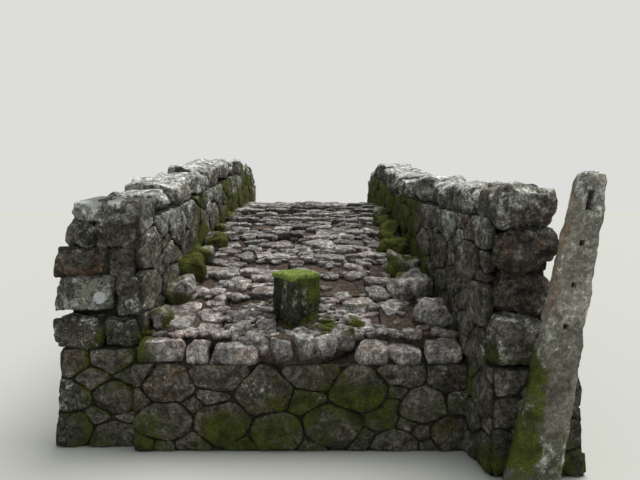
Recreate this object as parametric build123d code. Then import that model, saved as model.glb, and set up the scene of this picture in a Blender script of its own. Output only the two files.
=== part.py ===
"""A hump-backed granite packhorse bridge: one segmental arch between two solid abutments, battered side
walls that splay out in plan towards the ends, parapets with rough cap stones, end stacks of big boulders,
a humped deck with a granite bollard at its near end, and a leaning slotted post against the near right end.

Y runs along the deck, from the near end (negative) to the far end. X runs across it, and Z is up.
"""

from build123d import *
import math
import os

# Arch
arch_span = 5000.0
springing_height = 160.0
ring_depth = 330.0
voussoir_count = 25
voussoir_joint = 8.0
voussoir_projection = 22.0

# Deck: an arc between the two banks
bank_height = 900.0
deck_half_length = 5000.0
deck_rise = 1070.0
paving_thickness = 120.0
crown_fill = 50.0
passage_width_crown = 2200.0
passage_width_end = 2960.0
kerb_width = 210.0
kerb_upstand = 35.0
kerb_count = 6

# The deck's paving: courses laid from the crown outwards, each with its downhill edge a little proud
COURSE_LENGTHS = (400.0, 340.0, 460.0, 310.0, 380.0)
course_lip = 30.0
slab_joint = 24.0
slab_joint_depth = 32.0
slabs_across = 4

# Side walls and parapets. Each wall ends this far beyond the deck's toe, or short of it.
near_left_overrun = -100.0
near_right_overrun = 500.0
far_overrun = 0.0
wall_thickness_top = 500.0
wall_batter = 0.10
stack_length = 470.0
parapet_end_height = 1130.0
parapet_crown_height_left = 1600.0
parapet_crown_height_right = 1520.0
# Each cap stone lies on one straight stretch of the parapet's top. A point is its share of the way from the
# crown to the end stack, and its share of the rise from the end to the crown.
PARAPET_LINE_LEFT = (
    (0.0, 1.0), (0.14, 0.97), (0.29, 0.9), (0.45, 0.72), (0.6, 0.58), (0.74, 0.4), (0.87, 0.22), (1.0, 0.1),
)
PARAPET_LINE_RIGHT = (
    (0.0, 1.0), (0.15, 0.9), (0.31, 0.74), (0.46, 0.5), (0.6, 0.4), (0.73, 0.34), (0.86, 0.26), (1.0, 0.2),
)

# Cap stones along the parapets
cap_overhang = 18.0
cap_joint = 10.0
cap_rounding = 55.0
CAP_THICKNESS_LEFT = (200.0, 185.0, 215.0, 240.0, 190.0, 215.0, 165.0)
CAP_THICKNESS_RIGHT = (210.0, 190.0, 225.0, 180.0, 235.0, 200.0, 230.0)

# End stacks, from the bottom up: each stone's height, how far it stands out along Y, how far it stands out
# of the wall's outer face, and its edge rounding
STACK_RIGHT = (
    ("foot", 400.0, 0.0, 20.0, 85.0),
    ("lower", 370.0, -55.0, 0.0, 130.0),
    ("upper", 350.0, -20.0, 45.0, 120.0),
    ("cap", 320.0, -75.0, 10.0, 75.0),
)
STACK_LEFT = (
    ("foot", 270.0, -30.0, 150.0, 70.0),
    ("boulder", 370.0, -40.0, 180.0, 130.0),
    ("lower", 250.0, -60.0, 165.0, 60.0),
    ("upper", 255.0, -70.0, 90.0, 60.0),
    ("cap", 165.0, -35.0, 30.0, 55.0),
)

# Bollard, sunk through the paving, and the low bed of small stones in front of it
bollard_side = 345.0
bollard_top = 600.0
bollard_turn = 37.0
bollard_edge_rounding = 22.0
bollard_setback = 520.0
bollard_offset = -60.0
bed_radius_x = 560.0
bed_radius_y = 400.0
bed_height = 125.0
bed_rounding = 35.0

# Slotted post
post_height = 1540.0
post_base_x = 1960.0
post_lean = 9.3
post_base_width = 360.0
post_top_width = 235.0
post_base_depth = 290.0
post_top_depth = 230.0
post_corner = 26.0
mortise_side = 42.0
mortise_depth = 95.0
slot_length = 150.0
slot_width = 50.0
mortise_pitch = 318.0
slot_from_top = 190.0

# Worked out from the sizes above
crown_level = bank_height + deck_rise
arch_rise = crown_level - paving_thickness - crown_fill - ring_depth - springing_height
half_span = arch_span / 2
arch_radius = (half_span**2 + arch_rise**2) / (2 * arch_rise)
arch_centre_z = springing_height + arch_rise - arch_radius
springing_angle = math.degrees(math.asin(half_span / arch_radius))
outer_radius = arch_radius + ring_depth
outer_springing_y = outer_radius * math.sin(math.radians(springing_angle))
outer_springing_z = arch_centre_z + outer_radius * math.cos(math.radians(springing_angle))

deck_radius = (deck_half_length**2 + deck_rise**2) / (2 * deck_rise)
deck_centre_z = crown_level - deck_radius

splay = (passage_width_end - passage_width_crown) / 2
plan_radius = (deck_half_length**2 + splay**2) / (2 * splay)
wall_top = bank_height + max(parapet_crown_height_left, parapet_crown_height_right)
near_left_end = deck_half_length + near_left_overrun
near_right_end = deck_half_length + near_right_overrun
far_end = deck_half_length + far_overrun
reach = max(near_left_end, near_right_end, far_end)
parts = {}


def deck_z(y, drop=0.0):
    """Level of the deck's surface at y, or of a surface that lies drop under it."""
    y = min(abs(y), deck_half_length)
    return deck_centre_z + math.sqrt((deck_radius - drop) ** 2 - y**2)


def extrados_z(y):
    return arch_centre_z + math.sqrt(outer_radius**2 - y**2)


def inner_x(y):
    """Half the passage's width at y: the walls bow in towards the crown."""
    return passage_width_crown / 2 + plan_radius - math.sqrt(plan_radius**2 - y**2)


def wall_thickness(z):
    return wall_thickness_top + wall_batter * (wall_top - z)


def plan_arc(y0, y1, z, shift, side):
    """The walls' curved line in plan from y0 to y1, moved out by shift."""
    middle = (y0 + y1) / 2
    return ThreePointArc(*[(side * (inner_x(y) + shift), y, z) for y in (y0, middle, y1)])


def strip_wire(y0, y1, z, side, thickness):
    inner = plan_arc(y0, y1, z, 0, side)
    outer = plan_arc(y0, y1, z, thickness, side)
    return Wire([inner, Line(inner @ 1, outer @ 1), outer, Line(outer @ 0, inner @ 0)])


def wall_strip(y0, y1, side, extra=0.0):
    """The full-height side wall between y0 and y1, with its battered outer face."""
    bottom = strip_wire(y0, y1, 0, side, wall_thickness(0) + extra)
    top = strip_wire(y0, y1, wall_top, side, wall_thickness(wall_top) + extra)
    return Solid.make_loft([bottom, top], ruled=True)


def passage_prism(y0, y1):
    """Everything between the inner faces of the two side walls, from y0 to y1."""
    right = plan_arc(y0, y1, 0, 0, 1)
    left = plan_arc(y0, y1, 0, 0, -1)
    outline = Wire([right, Line(right @ 1, left @ 1), left, Line(left @ 0, right @ 0)])
    return extrude(Face(outline), amount=wall_top, dir=(0, 0, 1))


def elevation(*edges):
    """A prism across the whole bridge from a closed side-view outline of edges in (y, z)."""
    face = Face(Wire(edges))
    return extrude(face, amount=2 * reach, dir=(1, 0, 0), both=True)


def at(y, z):
    return (0, y, z)


def line(*points):
    """Straight edges through side-view points."""
    return [Line(at(*a), at(*b)) for a, b in zip(points, points[1:])]


def side_arc(curve, y0, y1):
    middle = (y0 + y1) / 2
    return ThreePointArc(*[at(y, curve(y)) for y in (y0, middle, y1)])


def keep(name, *shapes):
    """Stores one node of the model."""
    found = [s for shape in shapes for s in shape.solids()]
    parts[name] = found[0] if len(found) == 1 else Compound(found)


def place(shape, x, y, z, yaw=0.0, pitch=0.0):
    """Turns a shape on its bed, then tilts it with the bed's slope, and puts it in the bridge."""
    return Location((x, y, z)) * Rotation(pitch, 0, 0) * Rotation(0, 0, yaw) * shape


def rough_block(width, length, height, rounding):
    """A dressed-down granite block on its bed, with worn edges. Its origin is the middle of the bed."""
    block = Box(width, length, height, align=(Align.CENTER, Align.CENTER, Align.MIN))
    limit = 0.42 * min(width, length, height)
    return fillet(block.edges(), min(rounding, limit))


def wall_angle(y):
    """How far the wall's line is turned in plan at y, in degrees, on the right-hand side."""
    return -math.degrees(math.asin(y / plan_radius))


def build_arch():
    ring_outline = elevation(
        side_arc(lambda y: arch_centre_z + math.sqrt(arch_radius**2 - y**2), -half_span, half_span),
        Line(at(half_span, springing_height), at(outer_springing_y, outer_springing_z)),
        side_arc(extrados_z, outer_springing_y, -outer_springing_y),
        Line(at(-outer_springing_y, outer_springing_z), at(-half_span, springing_height)),
    )
    keep("arch_barrel", ring_outline & passage_prism(-outer_springing_y, outer_springing_y))
    step = 2 * springing_angle / voussoir_count
    gap = math.degrees(voussoir_joint / outer_radius) / 2
    for side, name in ((-1, "left_voussoirs"), (1, "right_voussoirs")):
        strip = wall_strip(-outer_springing_y, outer_springing_y, side, voussoir_projection)
        stones = []
        for index in range(voussoir_count):
            start = -springing_angle + index * step
            first = math.radians(start + (gap if index else 0))
            last = math.radians(start + step - (gap if index < voussoir_count - 1 else 0))
            polar = ((arch_radius, first), (arch_radius, last), (outer_radius, last), (outer_radius, first))
            corners = [(r * math.sin(angle), arch_centre_z + r * math.cos(angle)) for r, angle in polar]
            middle = (first + last) / 2
            crown = (outer_radius * math.sin(middle), arch_centre_z + outer_radius * math.cos(middle))
            sill = (arch_radius * math.sin(middle), arch_centre_z + arch_radius * math.cos(middle))
            wedge = elevation(
                ThreePointArc(at(*corners[0]), at(*sill), at(*corners[1])),
                *line(corners[1], corners[2]),
                ThreePointArc(at(*corners[2]), at(*crown), at(*corners[3])),
                *line(corners[3], corners[0]),
            )
            stones.append(wedge & strip)
        keep(name, *stones)


def skewback(sign):
    """Side-view points up the abutment's river face and its inclined skewback."""
    foot = [(sign * half_span, 0), (sign * half_span, springing_height)]
    return foot + [(sign * outer_springing_y, outer_springing_z)]


def build_abutments():
    for sign, name in ((-1, "near_abutment"), (1, "far_abutment")):
        end = sign * deck_half_length
        underside = deck_z(0, paving_thickness)
        end_top = deck_z(end, paving_thickness)
        outline = elevation(
            *line((end, 0), *skewback(sign)),
            side_arc(extrados_z, sign * outer_springing_y, 0),
            *line((0, extrados_z(0)), (0, underside)),
            side_arc(lambda y: deck_z(y, paving_thickness), 0, end),
            *line((end, end_top), (end, 0)),
        )
        keep(name, outline & passage_prism(*sorted((0, end))) - bollard_block())


def bollard_bed():
    """The low bed in front of the bollard's middle, as part of a disc that runs down into the ground."""
    disc = extrude(Ellipse(bed_radius_x, bed_radius_y), amount=bank_height + bed_height)
    disc = fillet(disc.faces().sort_by(Axis.Z)[-1].edges(), bed_rounding)
    disc = Location((bollard_offset, bed_radius_y - deck_half_length, 0)) * disc
    behind = extrude(Rectangle(passage_width_end, deck_half_length, align=(Align.CENTER, Align.MIN)), 2 * reach)
    return disc - Location((0, bollard_setback - deck_half_length, 0)) * behind


def bollard_block():
    block = rough_block(bollard_side, bollard_side, bollard_top, bollard_edge_rounding)
    return place(block, bollard_offset, bollard_setback - deck_half_length, bank_height, bollard_turn)


def course_edges(paved_end):
    """Distances from the crown of the joints between courses, with no thin course at the kerb."""
    edges = [0.0]
    while edges[-1] + 1.5 * min(COURSE_LENGTHS) < paved_end:
        edges.append(edges[-1] + COURSE_LENGTHS[(len(edges) - 1) % len(COURSE_LENGTHS)])
    return edges[:-1] + [paved_end]


def slab_joints(sign, row, middle):
    """Where the joints across one course lie along X."""
    count = slabs_across + row % 2
    pitch = 2 * inner_x(middle) / count
    shifts = [0.2 * math.sin(12.9 * row + 7.3 * index + 3 * sign) for index in range(1, count)]
    return [(index + shift) * pitch - inner_x(middle) for index, shift in enumerate(shifts, 1)]


def build_deck():
    paved_end = deck_half_length - kerb_width
    edges = course_edges(paved_end)
    bed = bollard_bed()
    for sign, name in ((-1, "deck_paving_near"), (1, "deck_paving_far")):
        end = sign * paved_end
        top, grooves = [], []
        for row, (low, high) in enumerate(zip(edges, edges[1:])):
            low_z, high_z = deck_z(low) - course_lip / 2, deck_z(high) + course_lip / 2
            top += [(sign * low, low_z), (sign * high, high_z)]
            groove = Box(slab_joint, high - low, 2 * slab_joint_depth)
            pitch = sign * math.degrees(math.atan2(high_z - low_z, high - low))
            for x in slab_joints(sign, row, (low + high) / 2):
                joint = place(groove, x, sign * (low + high) / 2, (low_z + high_z) / 2, 0, pitch)
                grooves.append(joint - bed)
        outline = elevation(
            *line((0, deck_z(0, paving_thickness)), *top, (end, deck_z(end, paving_thickness))),
            side_arc(lambda y: deck_z(y, paving_thickness), end, 0),
        )
        keep(name, outline & passage_prism(*sorted((0, end))) - grooves - bollard_block())
    for sign, name in ((-1, "near_toe_kerb"), (1, "far_toe_kerb")):
        outer, inner = sign * deck_half_length, sign * paved_end
        outline = elevation(
            side_arc(lambda y: deck_z(y, paving_thickness), outer, inner),
            *line(
                (inner, deck_z(inner, paving_thickness)),
                (inner, deck_z(inner) + kerb_upstand),
                (outer, deck_z(outer) + kerb_upstand),
                (outer, deck_z(outer, paving_thickness)),
            ),
        )
        row = outline & passage_prism(*sorted((outer, inner))) - bed
        for index in range(1, kerb_count):
            cut_x = (index / kerb_count - 0.5) * passage_width_end
            joint = Box(cap_joint, 3 * kerb_width, 2 * bank_height)
            row -= Location((cut_x, (outer + inner) / 2, bank_height)) * joint
        keep(name, row)


def end_of(side, sign):
    """Distance from the crown to the end of one side wall."""
    if sign > 0:
        return far_end
    return near_left_end if side < 0 else near_right_end


def build_lower_walls():
    """Spandrels over the arch, and wing walls beyond it with seats for the end stacks."""
    for side, side_name in ((-1, "left"), (1, "right")):
        for sign, end_name in ((-1, "near"), (1, "far")):
            springing = sign * outer_springing_y
            spandrel = elevation(
                side_arc(extrados_z, springing, 0),
                *line((0, extrados_z(0)), (0, deck_z(0))),
                side_arc(deck_z, 0, springing),
                *line((springing, deck_z(springing)), (springing, outer_springing_z)),
            )
            strip = wall_strip(*sorted((springing, 0)), side)
            keep(f"{side_name}_{end_name}_spandrel", spandrel & strip)
            end = sign * end_of(side, sign)
            seat = end - sign * stack_length
            deck_end = sign * min(abs(seat), deck_half_length)
            flat = [(seat, bank_height), (end, bank_height), (end, 0)]
            if abs(seat) > deck_half_length:
                flat = flat[1:]
            elif deck_z(seat) > bank_height:
                flat = [(seat, deck_z(seat))] + flat
            wing = elevation(
                *line((end, 0), *skewback(sign)),
                *line((springing, outer_springing_z), (springing, deck_z(springing))),
                side_arc(deck_z, springing, deck_end),
                *line((deck_end, deck_z(deck_end)), *[p for p in flat if p != (deck_end, deck_z(deck_end))]),
            )
            strip = wall_strip(*sorted((sign * half_span, end)), side)
            keep(f"{side_name}_{end_name}_wing_wall", wing & strip)


def parapet_points(side, sign):
    """The bed line of the cap stones from the crown to the end stack, as side-view points."""
    shares = PARAPET_LINE_LEFT if side < 0 else PARAPET_LINE_RIGHT
    crown_height = parapet_crown_height_left if side < 0 else parapet_crown_height_right
    length = end_of(side, sign) - stack_length
    rise = crown_height - parapet_end_height
    return [(sign * along * length, bank_height + parapet_end_height + up * rise) for along, up in shares]


def build_parapets():
    for side, side_name in ((-1, "left"), (1, "right")):
        for sign, end_name in ((-1, "near"), (1, "far")):
            points = parapet_points(side, sign)
            last_y, last_z = points[-1]
            deck_end = sign * min(abs(last_y), deck_half_length)
            foot = [(last_y, last_z), (last_y, deck_z(last_y))]
            if last_y != deck_end:
                foot.append((deck_end, deck_z(deck_end)))
            outline = elevation(
                *line((0, deck_z(0)), *points),
                *line(*foot),
                side_arc(deck_z, deck_end, 0),
            )
            strip = wall_strip(*sorted((last_y, 0)), side)
            keep(f"{side_name}_{end_name}_parapet", outline & strip)
            build_cap_stones(side, sign, points, f"{side_name}_{end_name}_coping")


def build_cap_stones(side, sign, points, name):
    """One worn block on each straight stretch, kept clear of its neighbours and of the end stack."""
    thicknesses = CAP_THICKNESS_LEFT if side < 0 else CAP_THICKNESS_RIGHT
    slopes = [math.atan2(z1 - z0, abs(y1 - y0)) for (y0, z0), (y1, z1) in zip(points, points[1:])]
    stones = []
    for index, thickness in enumerate(thicknesses):
        (y0, z0), (y1, z1) = points[index], points[index + 1]
        slope = slopes[index]
        bend_before = (slope - slopes[index - 1]) / 2 if index else slope
        bend_after = (slopes[index + 1] - slope) / 2 if index + 1 < len(slopes) else -slope
        first = cap_joint / 2 + thickness * math.tan(max(bend_before, 0))
        last = cap_joint / 2 + thickness * math.tan(max(bend_after, 0))
        if index + 1 == len(thicknesses):
            last += wall_thickness(z1) / 2 * math.sin(math.radians(abs(wall_angle(y1))))
        length = math.hypot(y1 - y0, z1 - z0)
        share = (first + (length - first - last) / 2) / length
        y, z = y0 + share * (y1 - y0), z0 + share * (z1 - z0)
        width = wall_thickness(z) + 2 * cap_overhang
        x = side * (inner_x(y) + wall_thickness(z) / 2)
        stone = rough_block(width, length - first - last, thickness, cap_rounding)
        stones.append(place(stone, x, y, z, side * wall_angle(y), math.degrees(sign * slope)))
    keep(name, *stones)


def build_end_stacks():
    """Big stones one on another at the ends of the parapets. The near ones are nodes of their own, and the
    far ones take two nodes, so that stones that touch are apart."""
    for side, side_name, stack in ((-1, "left", STACK_LEFT), (1, "right", STACK_RIGHT)):
        for sign, end_name in ((-1, "near"), (1, "far")):
            end = sign * end_of(side, sign)
            back = end - sign * stack_length
            z = bank_height
            pile = []
            for stone_name, height, set_out, swell, rounding in stack:
                length = stack_length + set_out
                width = wall_thickness(z + height / 2) + swell
                x = side * (inner_x(end) + width / 2)
                block = place(rough_block(width, length, height, rounding), x, back + sign * length / 2, z)
                if end_name == "near":
                    keep(f"near_{side_name}_end_{stone_name}", block)
                pile.append(block)
                z += height
            if end_name == "far":
                keep(f"far_{side_name}_end_bed_stones", *pile[0::2])
                keep(f"far_{side_name}_end_tie_stones", *pile[1::2])


def build_bollard():
    keep("bollard_bed", bollard_bed() - parts["near_abutment"] - parts["deck_paving_near"] - bollard_block())
    keep("bollard", bollard_block())


def post_section(z, centre_x, width, depth, back_y):
    """A rectangle with cut corners whose back edge is on the plane y = back_y."""
    half, cut = width / 2, post_corner
    corners = [
        (half - cut, 0), (half, -cut), (half, -depth + cut), (half - cut, -depth),
        (-half + cut, -depth), (-half, -depth + cut), (-half, -cut), (-half + cut, 0),
    ]
    return Wire.make_polygon([(centre_x + x, back_y + y, z) for x, y in corners], close=True)


def build_post():
    """A post with a slot and three square mortises in its front, against the near right wing wall's end."""
    slope = math.tan(math.radians(post_lean))
    back_y = -near_right_end
    top_z = bank_height + post_height
    grow = (post_base_width - post_top_width) / post_height
    foot_width = post_base_width + grow * bank_height

    def centre(z):
        return post_base_x + slope * (z - bank_height)

    def front(z):
        return back_y - post_base_depth + (post_base_depth - post_top_depth) * z / top_z

    shaft = Solid.make_loft(
        [
            post_section(0, centre(0), foot_width, post_base_depth, back_y),
            post_section(top_z, centre(top_z), post_top_width, post_top_depth, back_y),
        ],
        ruled=True,
    )
    z = top_z - slot_from_top
    openings = [(z, slot_width, slot_length)]
    openings += [(z - (index + 1) * mortise_pitch, mortise_side, mortise_side) for index in range(3)]
    for z, width, height in openings:
        pocket = Rotation(0, post_lean, 0) * Box(width, 2 * mortise_depth, height)
        shaft -= Location((centre(z), front(z), z)) * pocket
    keep("slotted_post", shaft)


def main():
    build_arch()
    build_abutments()
    build_deck()
    build_lower_walls()
    build_parapets()
    build_end_stacks()
    build_bollard()
    build_post()
    box = Compound(list(parts.values())).bounding_box()
    origin = Location((-(box.min.X + box.max.X) / 2, -(box.min.Y + box.max.Y) / 2, 0))
    os.makedirs("parts", exist_ok=True)
    for name, shape in parts.items():
        export_step(shape.moved(origin), f"parts/{name}.step")
    print("nodes", len(parts), "origin moved by", origin.position)


main()
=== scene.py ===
"""The looks of the hump-backed granite bridge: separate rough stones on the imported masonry, with lichen and moss.

Lengths are metres. The shapes are worked out with X across the bridge, Y along it from the crown, and Z up,
and then moved into the row's frame with SHIFT.
"""

import math

import bpy
import numpy as np
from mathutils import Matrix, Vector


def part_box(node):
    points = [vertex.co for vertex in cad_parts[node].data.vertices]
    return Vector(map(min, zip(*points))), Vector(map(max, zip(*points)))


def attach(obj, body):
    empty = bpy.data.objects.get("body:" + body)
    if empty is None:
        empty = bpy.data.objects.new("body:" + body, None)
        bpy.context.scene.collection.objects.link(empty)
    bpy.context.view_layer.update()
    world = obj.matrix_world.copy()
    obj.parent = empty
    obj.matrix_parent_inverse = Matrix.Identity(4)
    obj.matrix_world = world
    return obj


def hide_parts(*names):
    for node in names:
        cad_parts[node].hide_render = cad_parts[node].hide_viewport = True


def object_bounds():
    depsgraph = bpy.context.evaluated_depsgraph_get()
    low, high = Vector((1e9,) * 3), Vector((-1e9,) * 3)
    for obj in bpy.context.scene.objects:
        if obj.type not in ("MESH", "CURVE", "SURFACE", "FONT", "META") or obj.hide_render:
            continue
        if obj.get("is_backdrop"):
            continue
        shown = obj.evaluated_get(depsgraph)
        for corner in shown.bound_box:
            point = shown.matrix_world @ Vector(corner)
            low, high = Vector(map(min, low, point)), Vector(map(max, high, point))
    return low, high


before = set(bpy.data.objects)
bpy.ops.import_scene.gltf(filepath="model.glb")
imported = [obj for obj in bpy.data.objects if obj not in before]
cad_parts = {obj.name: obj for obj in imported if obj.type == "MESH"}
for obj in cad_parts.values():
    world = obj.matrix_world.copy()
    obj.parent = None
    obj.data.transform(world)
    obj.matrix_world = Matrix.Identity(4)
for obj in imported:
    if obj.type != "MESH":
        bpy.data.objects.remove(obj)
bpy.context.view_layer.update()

# The same lines as the CAD model
BANK = 0.9
HALF_LENGTH = 5.0
CROWN, HUMP = 1.97, 1.07
DECK_R = (HALF_LENGTH**2 + HUMP**2) / (2 * HUMP)
PASSAGE = 1.1
SPLAY = 0.38
PLAN_R = (HALF_LENGTH**2 + SPLAY**2) / (2 * SPLAY)
WALL_TOP, TOP_THICKNESS, BATTER = 2.5, 0.5, 0.1
ARCH_HALF, ARCH_RISE, SPRINGING, RING = 2.5, 1.31, 0.16, 0.33
ARCH_R = (ARCH_HALF**2 + ARCH_RISE**2) / (2 * ARCH_RISE)
ARCH_Z = SPRINGING + ARCH_RISE - ARCH_R
ARCH_TURN = math.asin(ARCH_HALF / ARCH_R)
OUTER_R = ARCH_R + RING
ENDS = {("left", "near"): 4.9, ("right", "near"): 5.5, ("left", "far"): 5.0, ("right", "far"): 5.0}
STACK = 0.47
CROWN_HEIGHT = {"left": 1.6, "right": 1.52}
END_HEIGHT = 1.13
TOP_LINE = {
    "left": ((0, 1), (0.14, 0.97), (0.29, 0.9), (0.45, 0.72), (0.6, 0.58), (0.74, 0.4), (0.87, 0.22), (1, 0.1)),
    "right": ((0, 1), (0.15, 0.9), (0.31, 0.74), (0.46, 0.5), (0.6, 0.4), (0.73, 0.34), (0.86, 0.26), (1, 0.2)),
}
CAP_THICKNESS = {
    "left": (0.2, 0.185, 0.215, 0.24, 0.19, 0.215, 0.165),
    "right": (0.21, 0.19, 0.225, 0.18, 0.235, 0.2, 0.23),
}
# How far the inner rubble stops short of the walls' ends
CORNER = {"left": 0.08, "right": 0.13}
SIDE = {"left": -1, "right": 1}
END = {"near": -1, "far": 1}
SEEDS = {
    "walls": 11, "abutments": 31, "soffit": 41, "ring": 51, "caps": 61, "stacks": 81, "deck": 101, "toes": 111,
    "bed": 121, "feet": 131, "bollard": 141,
}

low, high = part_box("arch_barrel")
SHIFT = np.array([(low[0] + high[0]) / 2, (low[1] + high[1]) / 2, 0.0])


def deck(y):
    """Level of the deck's arc at y."""
    y = np.minimum(np.abs(y), HALF_LENGTH)
    return CROWN - DECK_R + np.sqrt(DECK_R**2 - y**2)


def inner(y):
    """Half the width of the passage at y."""
    return PASSAGE + PLAN_R - np.sqrt(PLAN_R**2 - np.asarray(y) ** 2)


def thick(z):
    """The walls' thickness at level z."""
    return TOP_THICKNESS + BATTER * (WALL_TOP - z)


def cap_bed(side, end):
    """The parapet's top as (y, z) points from the crown out to the end stack."""
    length = ENDS[side, end] - STACK
    rise = CROWN_HEIGHT[side] - END_HEIGHT
    return [(END[end] * a * length, BANK + END_HEIGHT + b * rise) for a, b in TOP_LINE[side]]


# The deck's courses, as in the CAD model
COURSES = (0.4, 0.34, 0.46, 0.31, 0.38)
COURSE_LIP = 0.03
PAVED = 4.79
EDGES = [0.0]
while EDGES[-1] + 1.5 * min(COURSES) < PAVED:
    EDGES.append(EDGES[-1] + COURSES[(len(EDGES) - 1) % len(COURSES)])
EDGES = EDGES[:-1] + [PAVED]


def slab_joints(direction, row, middle):
    """Where the joints across a course are, as x."""
    count = 4 + row % 2
    pitch = 2 * float(inner(middle)) / count
    shifts = [0.2 * math.sin(12.9 * row + 7.3 * index + 3 * direction) for index in range(1, count)]
    return [(index + shift) * pitch - float(inner(middle)) for index, shift in enumerate(shifts, 1)]


def bed_line(side):
    """Level of the cap stones' bed at y, along the whole wall."""
    points = cap_bed(side, "near")[::-1] + cap_bed(side, "far")[1:]
    ys, zs = zip(*points)
    return lambda y: np.interp(y, ys, zs)


# Noise


def seeded(what, offset=0):
    return np.random.default_rng(SEEDS[what] + offset)


def lattice(i, j, k, seed):
    h = (i * 374761393 + j * 668265263 + k * 974634777 + seed * 1274126177) & 0xFFFFFFFF
    h = ((h ^ (h >> 13)) * 1274126177) & 0xFFFFFFFF
    return ((h ^ (h >> 16)) & 0xFFFF) / 0xFFFF


def noise(p, scale, seed=0):
    """Smooth noise from -1 to 1 at the points p."""
    q = np.asarray(p, float) * scale + 100.0
    cell = np.floor(q).astype(np.int64)
    f = q - cell
    f = f * f * (3 - 2 * f)
    total = 0.0
    for dx in (0, 1):
        for dy in (0, 1):
            for dz in (0, 1):
                weight = 1.0
                for axis, d in enumerate((dx, dy, dz)):
                    weight = weight * (f[..., axis] if d else 1 - f[..., axis])
                total = total + weight * lattice(cell[..., 0] + dx, cell[..., 1] + dy, cell[..., 2] + dz, seed)
    return 2 * total - 1


def rough(p, scale, seed=0, octaves=3):
    total, size = 0.0, 1.0
    for octave in range(octaves):
        total = total + size * noise(p, scale * 2.1**octave, seed + 11 * octave)
        size *= 0.5
    return total


def ramp(x, a, b):
    t = np.clip((np.asarray(x, float) - a) / (b - a), 0, 1)
    return t * t * (3 - 2 * t)


# Meshes

PAINTED_SKY_LIGHT = 0.22  # how much paler a face that looks up is painted, and how much darker one that looks down: painted sky light and shade


def unit(vectors):
    return vectors / np.maximum(np.linalg.norm(vectors, axis=1, keepdims=True), 1e-9)


def link(name, data):
    """A new object with this data, in the scene."""
    thing = bpy.data.objects.new(name, data)
    bpy.context.scene.collection.objects.link(thing)
    return thing


class Pile:
    """Collects stones and makes one mesh of them. look is value, warmth, lichen, moss; rim is 1 deep in a joint, where
    the colour is darkened with dirt and painted shade.
    """

    def __init__(self):
        self.verts, self.faces, self.look, self.rim = [], [], [], []
        self.count = 0

    def add(self, verts, faces, look, rim):
        self.verts.append(verts)
        if isinstance(faces, np.ndarray):
            a, b, c = (verts[faces[:, k]] for k in range(3))
            outwards = (np.cross(b - a, c - a) * (a - verts.mean(0))).sum()
            faces = (faces if outwards > 0 else faces[:, ::-1]).tolist()
        self.faces += [[i + self.count for i in face] for face in faces]
        self.look.append(np.broadcast_to(look, (len(verts), 4)).astype(float))
        self.rim.append(np.broadcast_to(rim, len(verts)).astype(float))
        self.count += len(verts)

    def build(self, name, material, slot, replaces=(), rule=None):
        verts = np.concatenate(self.verts)
        look = np.concatenate(self.look)
        rim = np.concatenate(self.rim)
        mesh = bpy.data.meshes.new(name)
        placed = verts + SHIFT
        placed[:, 2] = np.maximum(placed[:, 2], 0.0)
        mesh.from_pydata(placed.tolist(), [], self.faces)
        mesh.update()
        normals = np.zeros(len(verts) * 3, np.float32)
        mesh.vertices.foreach_get("normal", normals)
        normals = normals.reshape(-1, 3)
        # Painted sky light and shade: the value rises on faces that look up and falls on faces that look down
        look[:, 0] += PAINTED_SKY_LIGHT * normals[:, 2]
        if rule:
            rule(verts, normals, look, rim)
        attribute = mesh.color_attributes.new("look", "FLOAT_COLOR", "POINT")
        attribute.data.foreach_set("color", np.clip(look, 0, 1).astype(np.float32).ravel())
        depth = mesh.attributes.new("rim", "FLOAT", "POINT")
        depth.data.foreach_set("value", rim.astype(np.float32))
        mesh.polygons.foreach_set("use_smooth", np.ones(len(mesh.polygons), bool))
        piece = link(name, mesh)
        mesh.materials.append(material)
        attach(piece, "root")
        if replaces:
            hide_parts(*replaces)


TEMPLATES = {}


def box_template(n):
    """Points on a cube's surface on an n-part lattice, closer together near the edges, and its faces."""
    if n in TEMPLATES:
        return TEMPLATES[n]
    index, points, faces = {}, [], []

    def point(key):
        if key not in index:
            index[key] = len(points)
            points.append([math.sin((2 * k / m - 1) * math.pi / 2) for k, m in zip(key, n)])
        return index[key]

    for axis in range(3):
        b, c = (axis + 1) % 3, (axis + 2) % 3
        for end in (0, n[axis]):
            for i in range(n[b]):
                for j in range(n[c]):
                    corners = []
                    for di, dj in ((0, 0), (1, 0), (1, 1), (0, 1)):
                        key = [0, 0, 0]
                        key[axis], key[b], key[c] = end, i + di, j + dj
                        corners.append(point(tuple(key)))
                    if end == 0:
                        corners.reverse()
                    faces.append(corners)
    TEMPLATES[n] = (np.array(points), np.array(faces))
    return TEMPLATES[n]


def stone_block(rng, half, rounding, n, chops, chop=(0.8, 0.98), lumps=0.02, scale=7.0, pillow=0.0):
    """A quarried or weathered block around its middle: a rounded box with random faces cut off, made uneven.

    n is the mesh's parts along each side, chop how near the middle the cuts may come, lumps and scale the height
    and fineness of the unevenness, and pillow its share of an ellipsoid's shape.
    """
    points, faces = box_template(n)
    half = np.asarray(half, float)
    r = min(rounding, 0.85 * half.min())
    p = points * half
    core = np.clip(p, -(half - r), half - r)
    out = p - core
    length = np.linalg.norm(out, axis=1, keepdims=True)
    p = core + r * out / np.maximum(length, 1e-9)
    ball = half * points / np.linalg.norm(points, axis=1, keepdims=True)
    p = p + pillow * (ball - p)
    for _ in range(chops):
        d = rng.normal(size=3)
        d /= np.linalg.norm(d)
        support = np.abs(d * half).sum() - r * 0.55
        offset = support * rng.uniform(*chop)
        p = p - d * np.maximum(p @ d - offset, 0)[:, None] * 0.92
    direction = unit(p / half**1.2)
    where = p + rng.uniform(-40, 40, 3)
    amount = lumps * (rough(where, scale) + 0.35 * np.abs(noise(where, scale * 2.6, 5)))
    return p + direction * amount[:, None], faces


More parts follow.
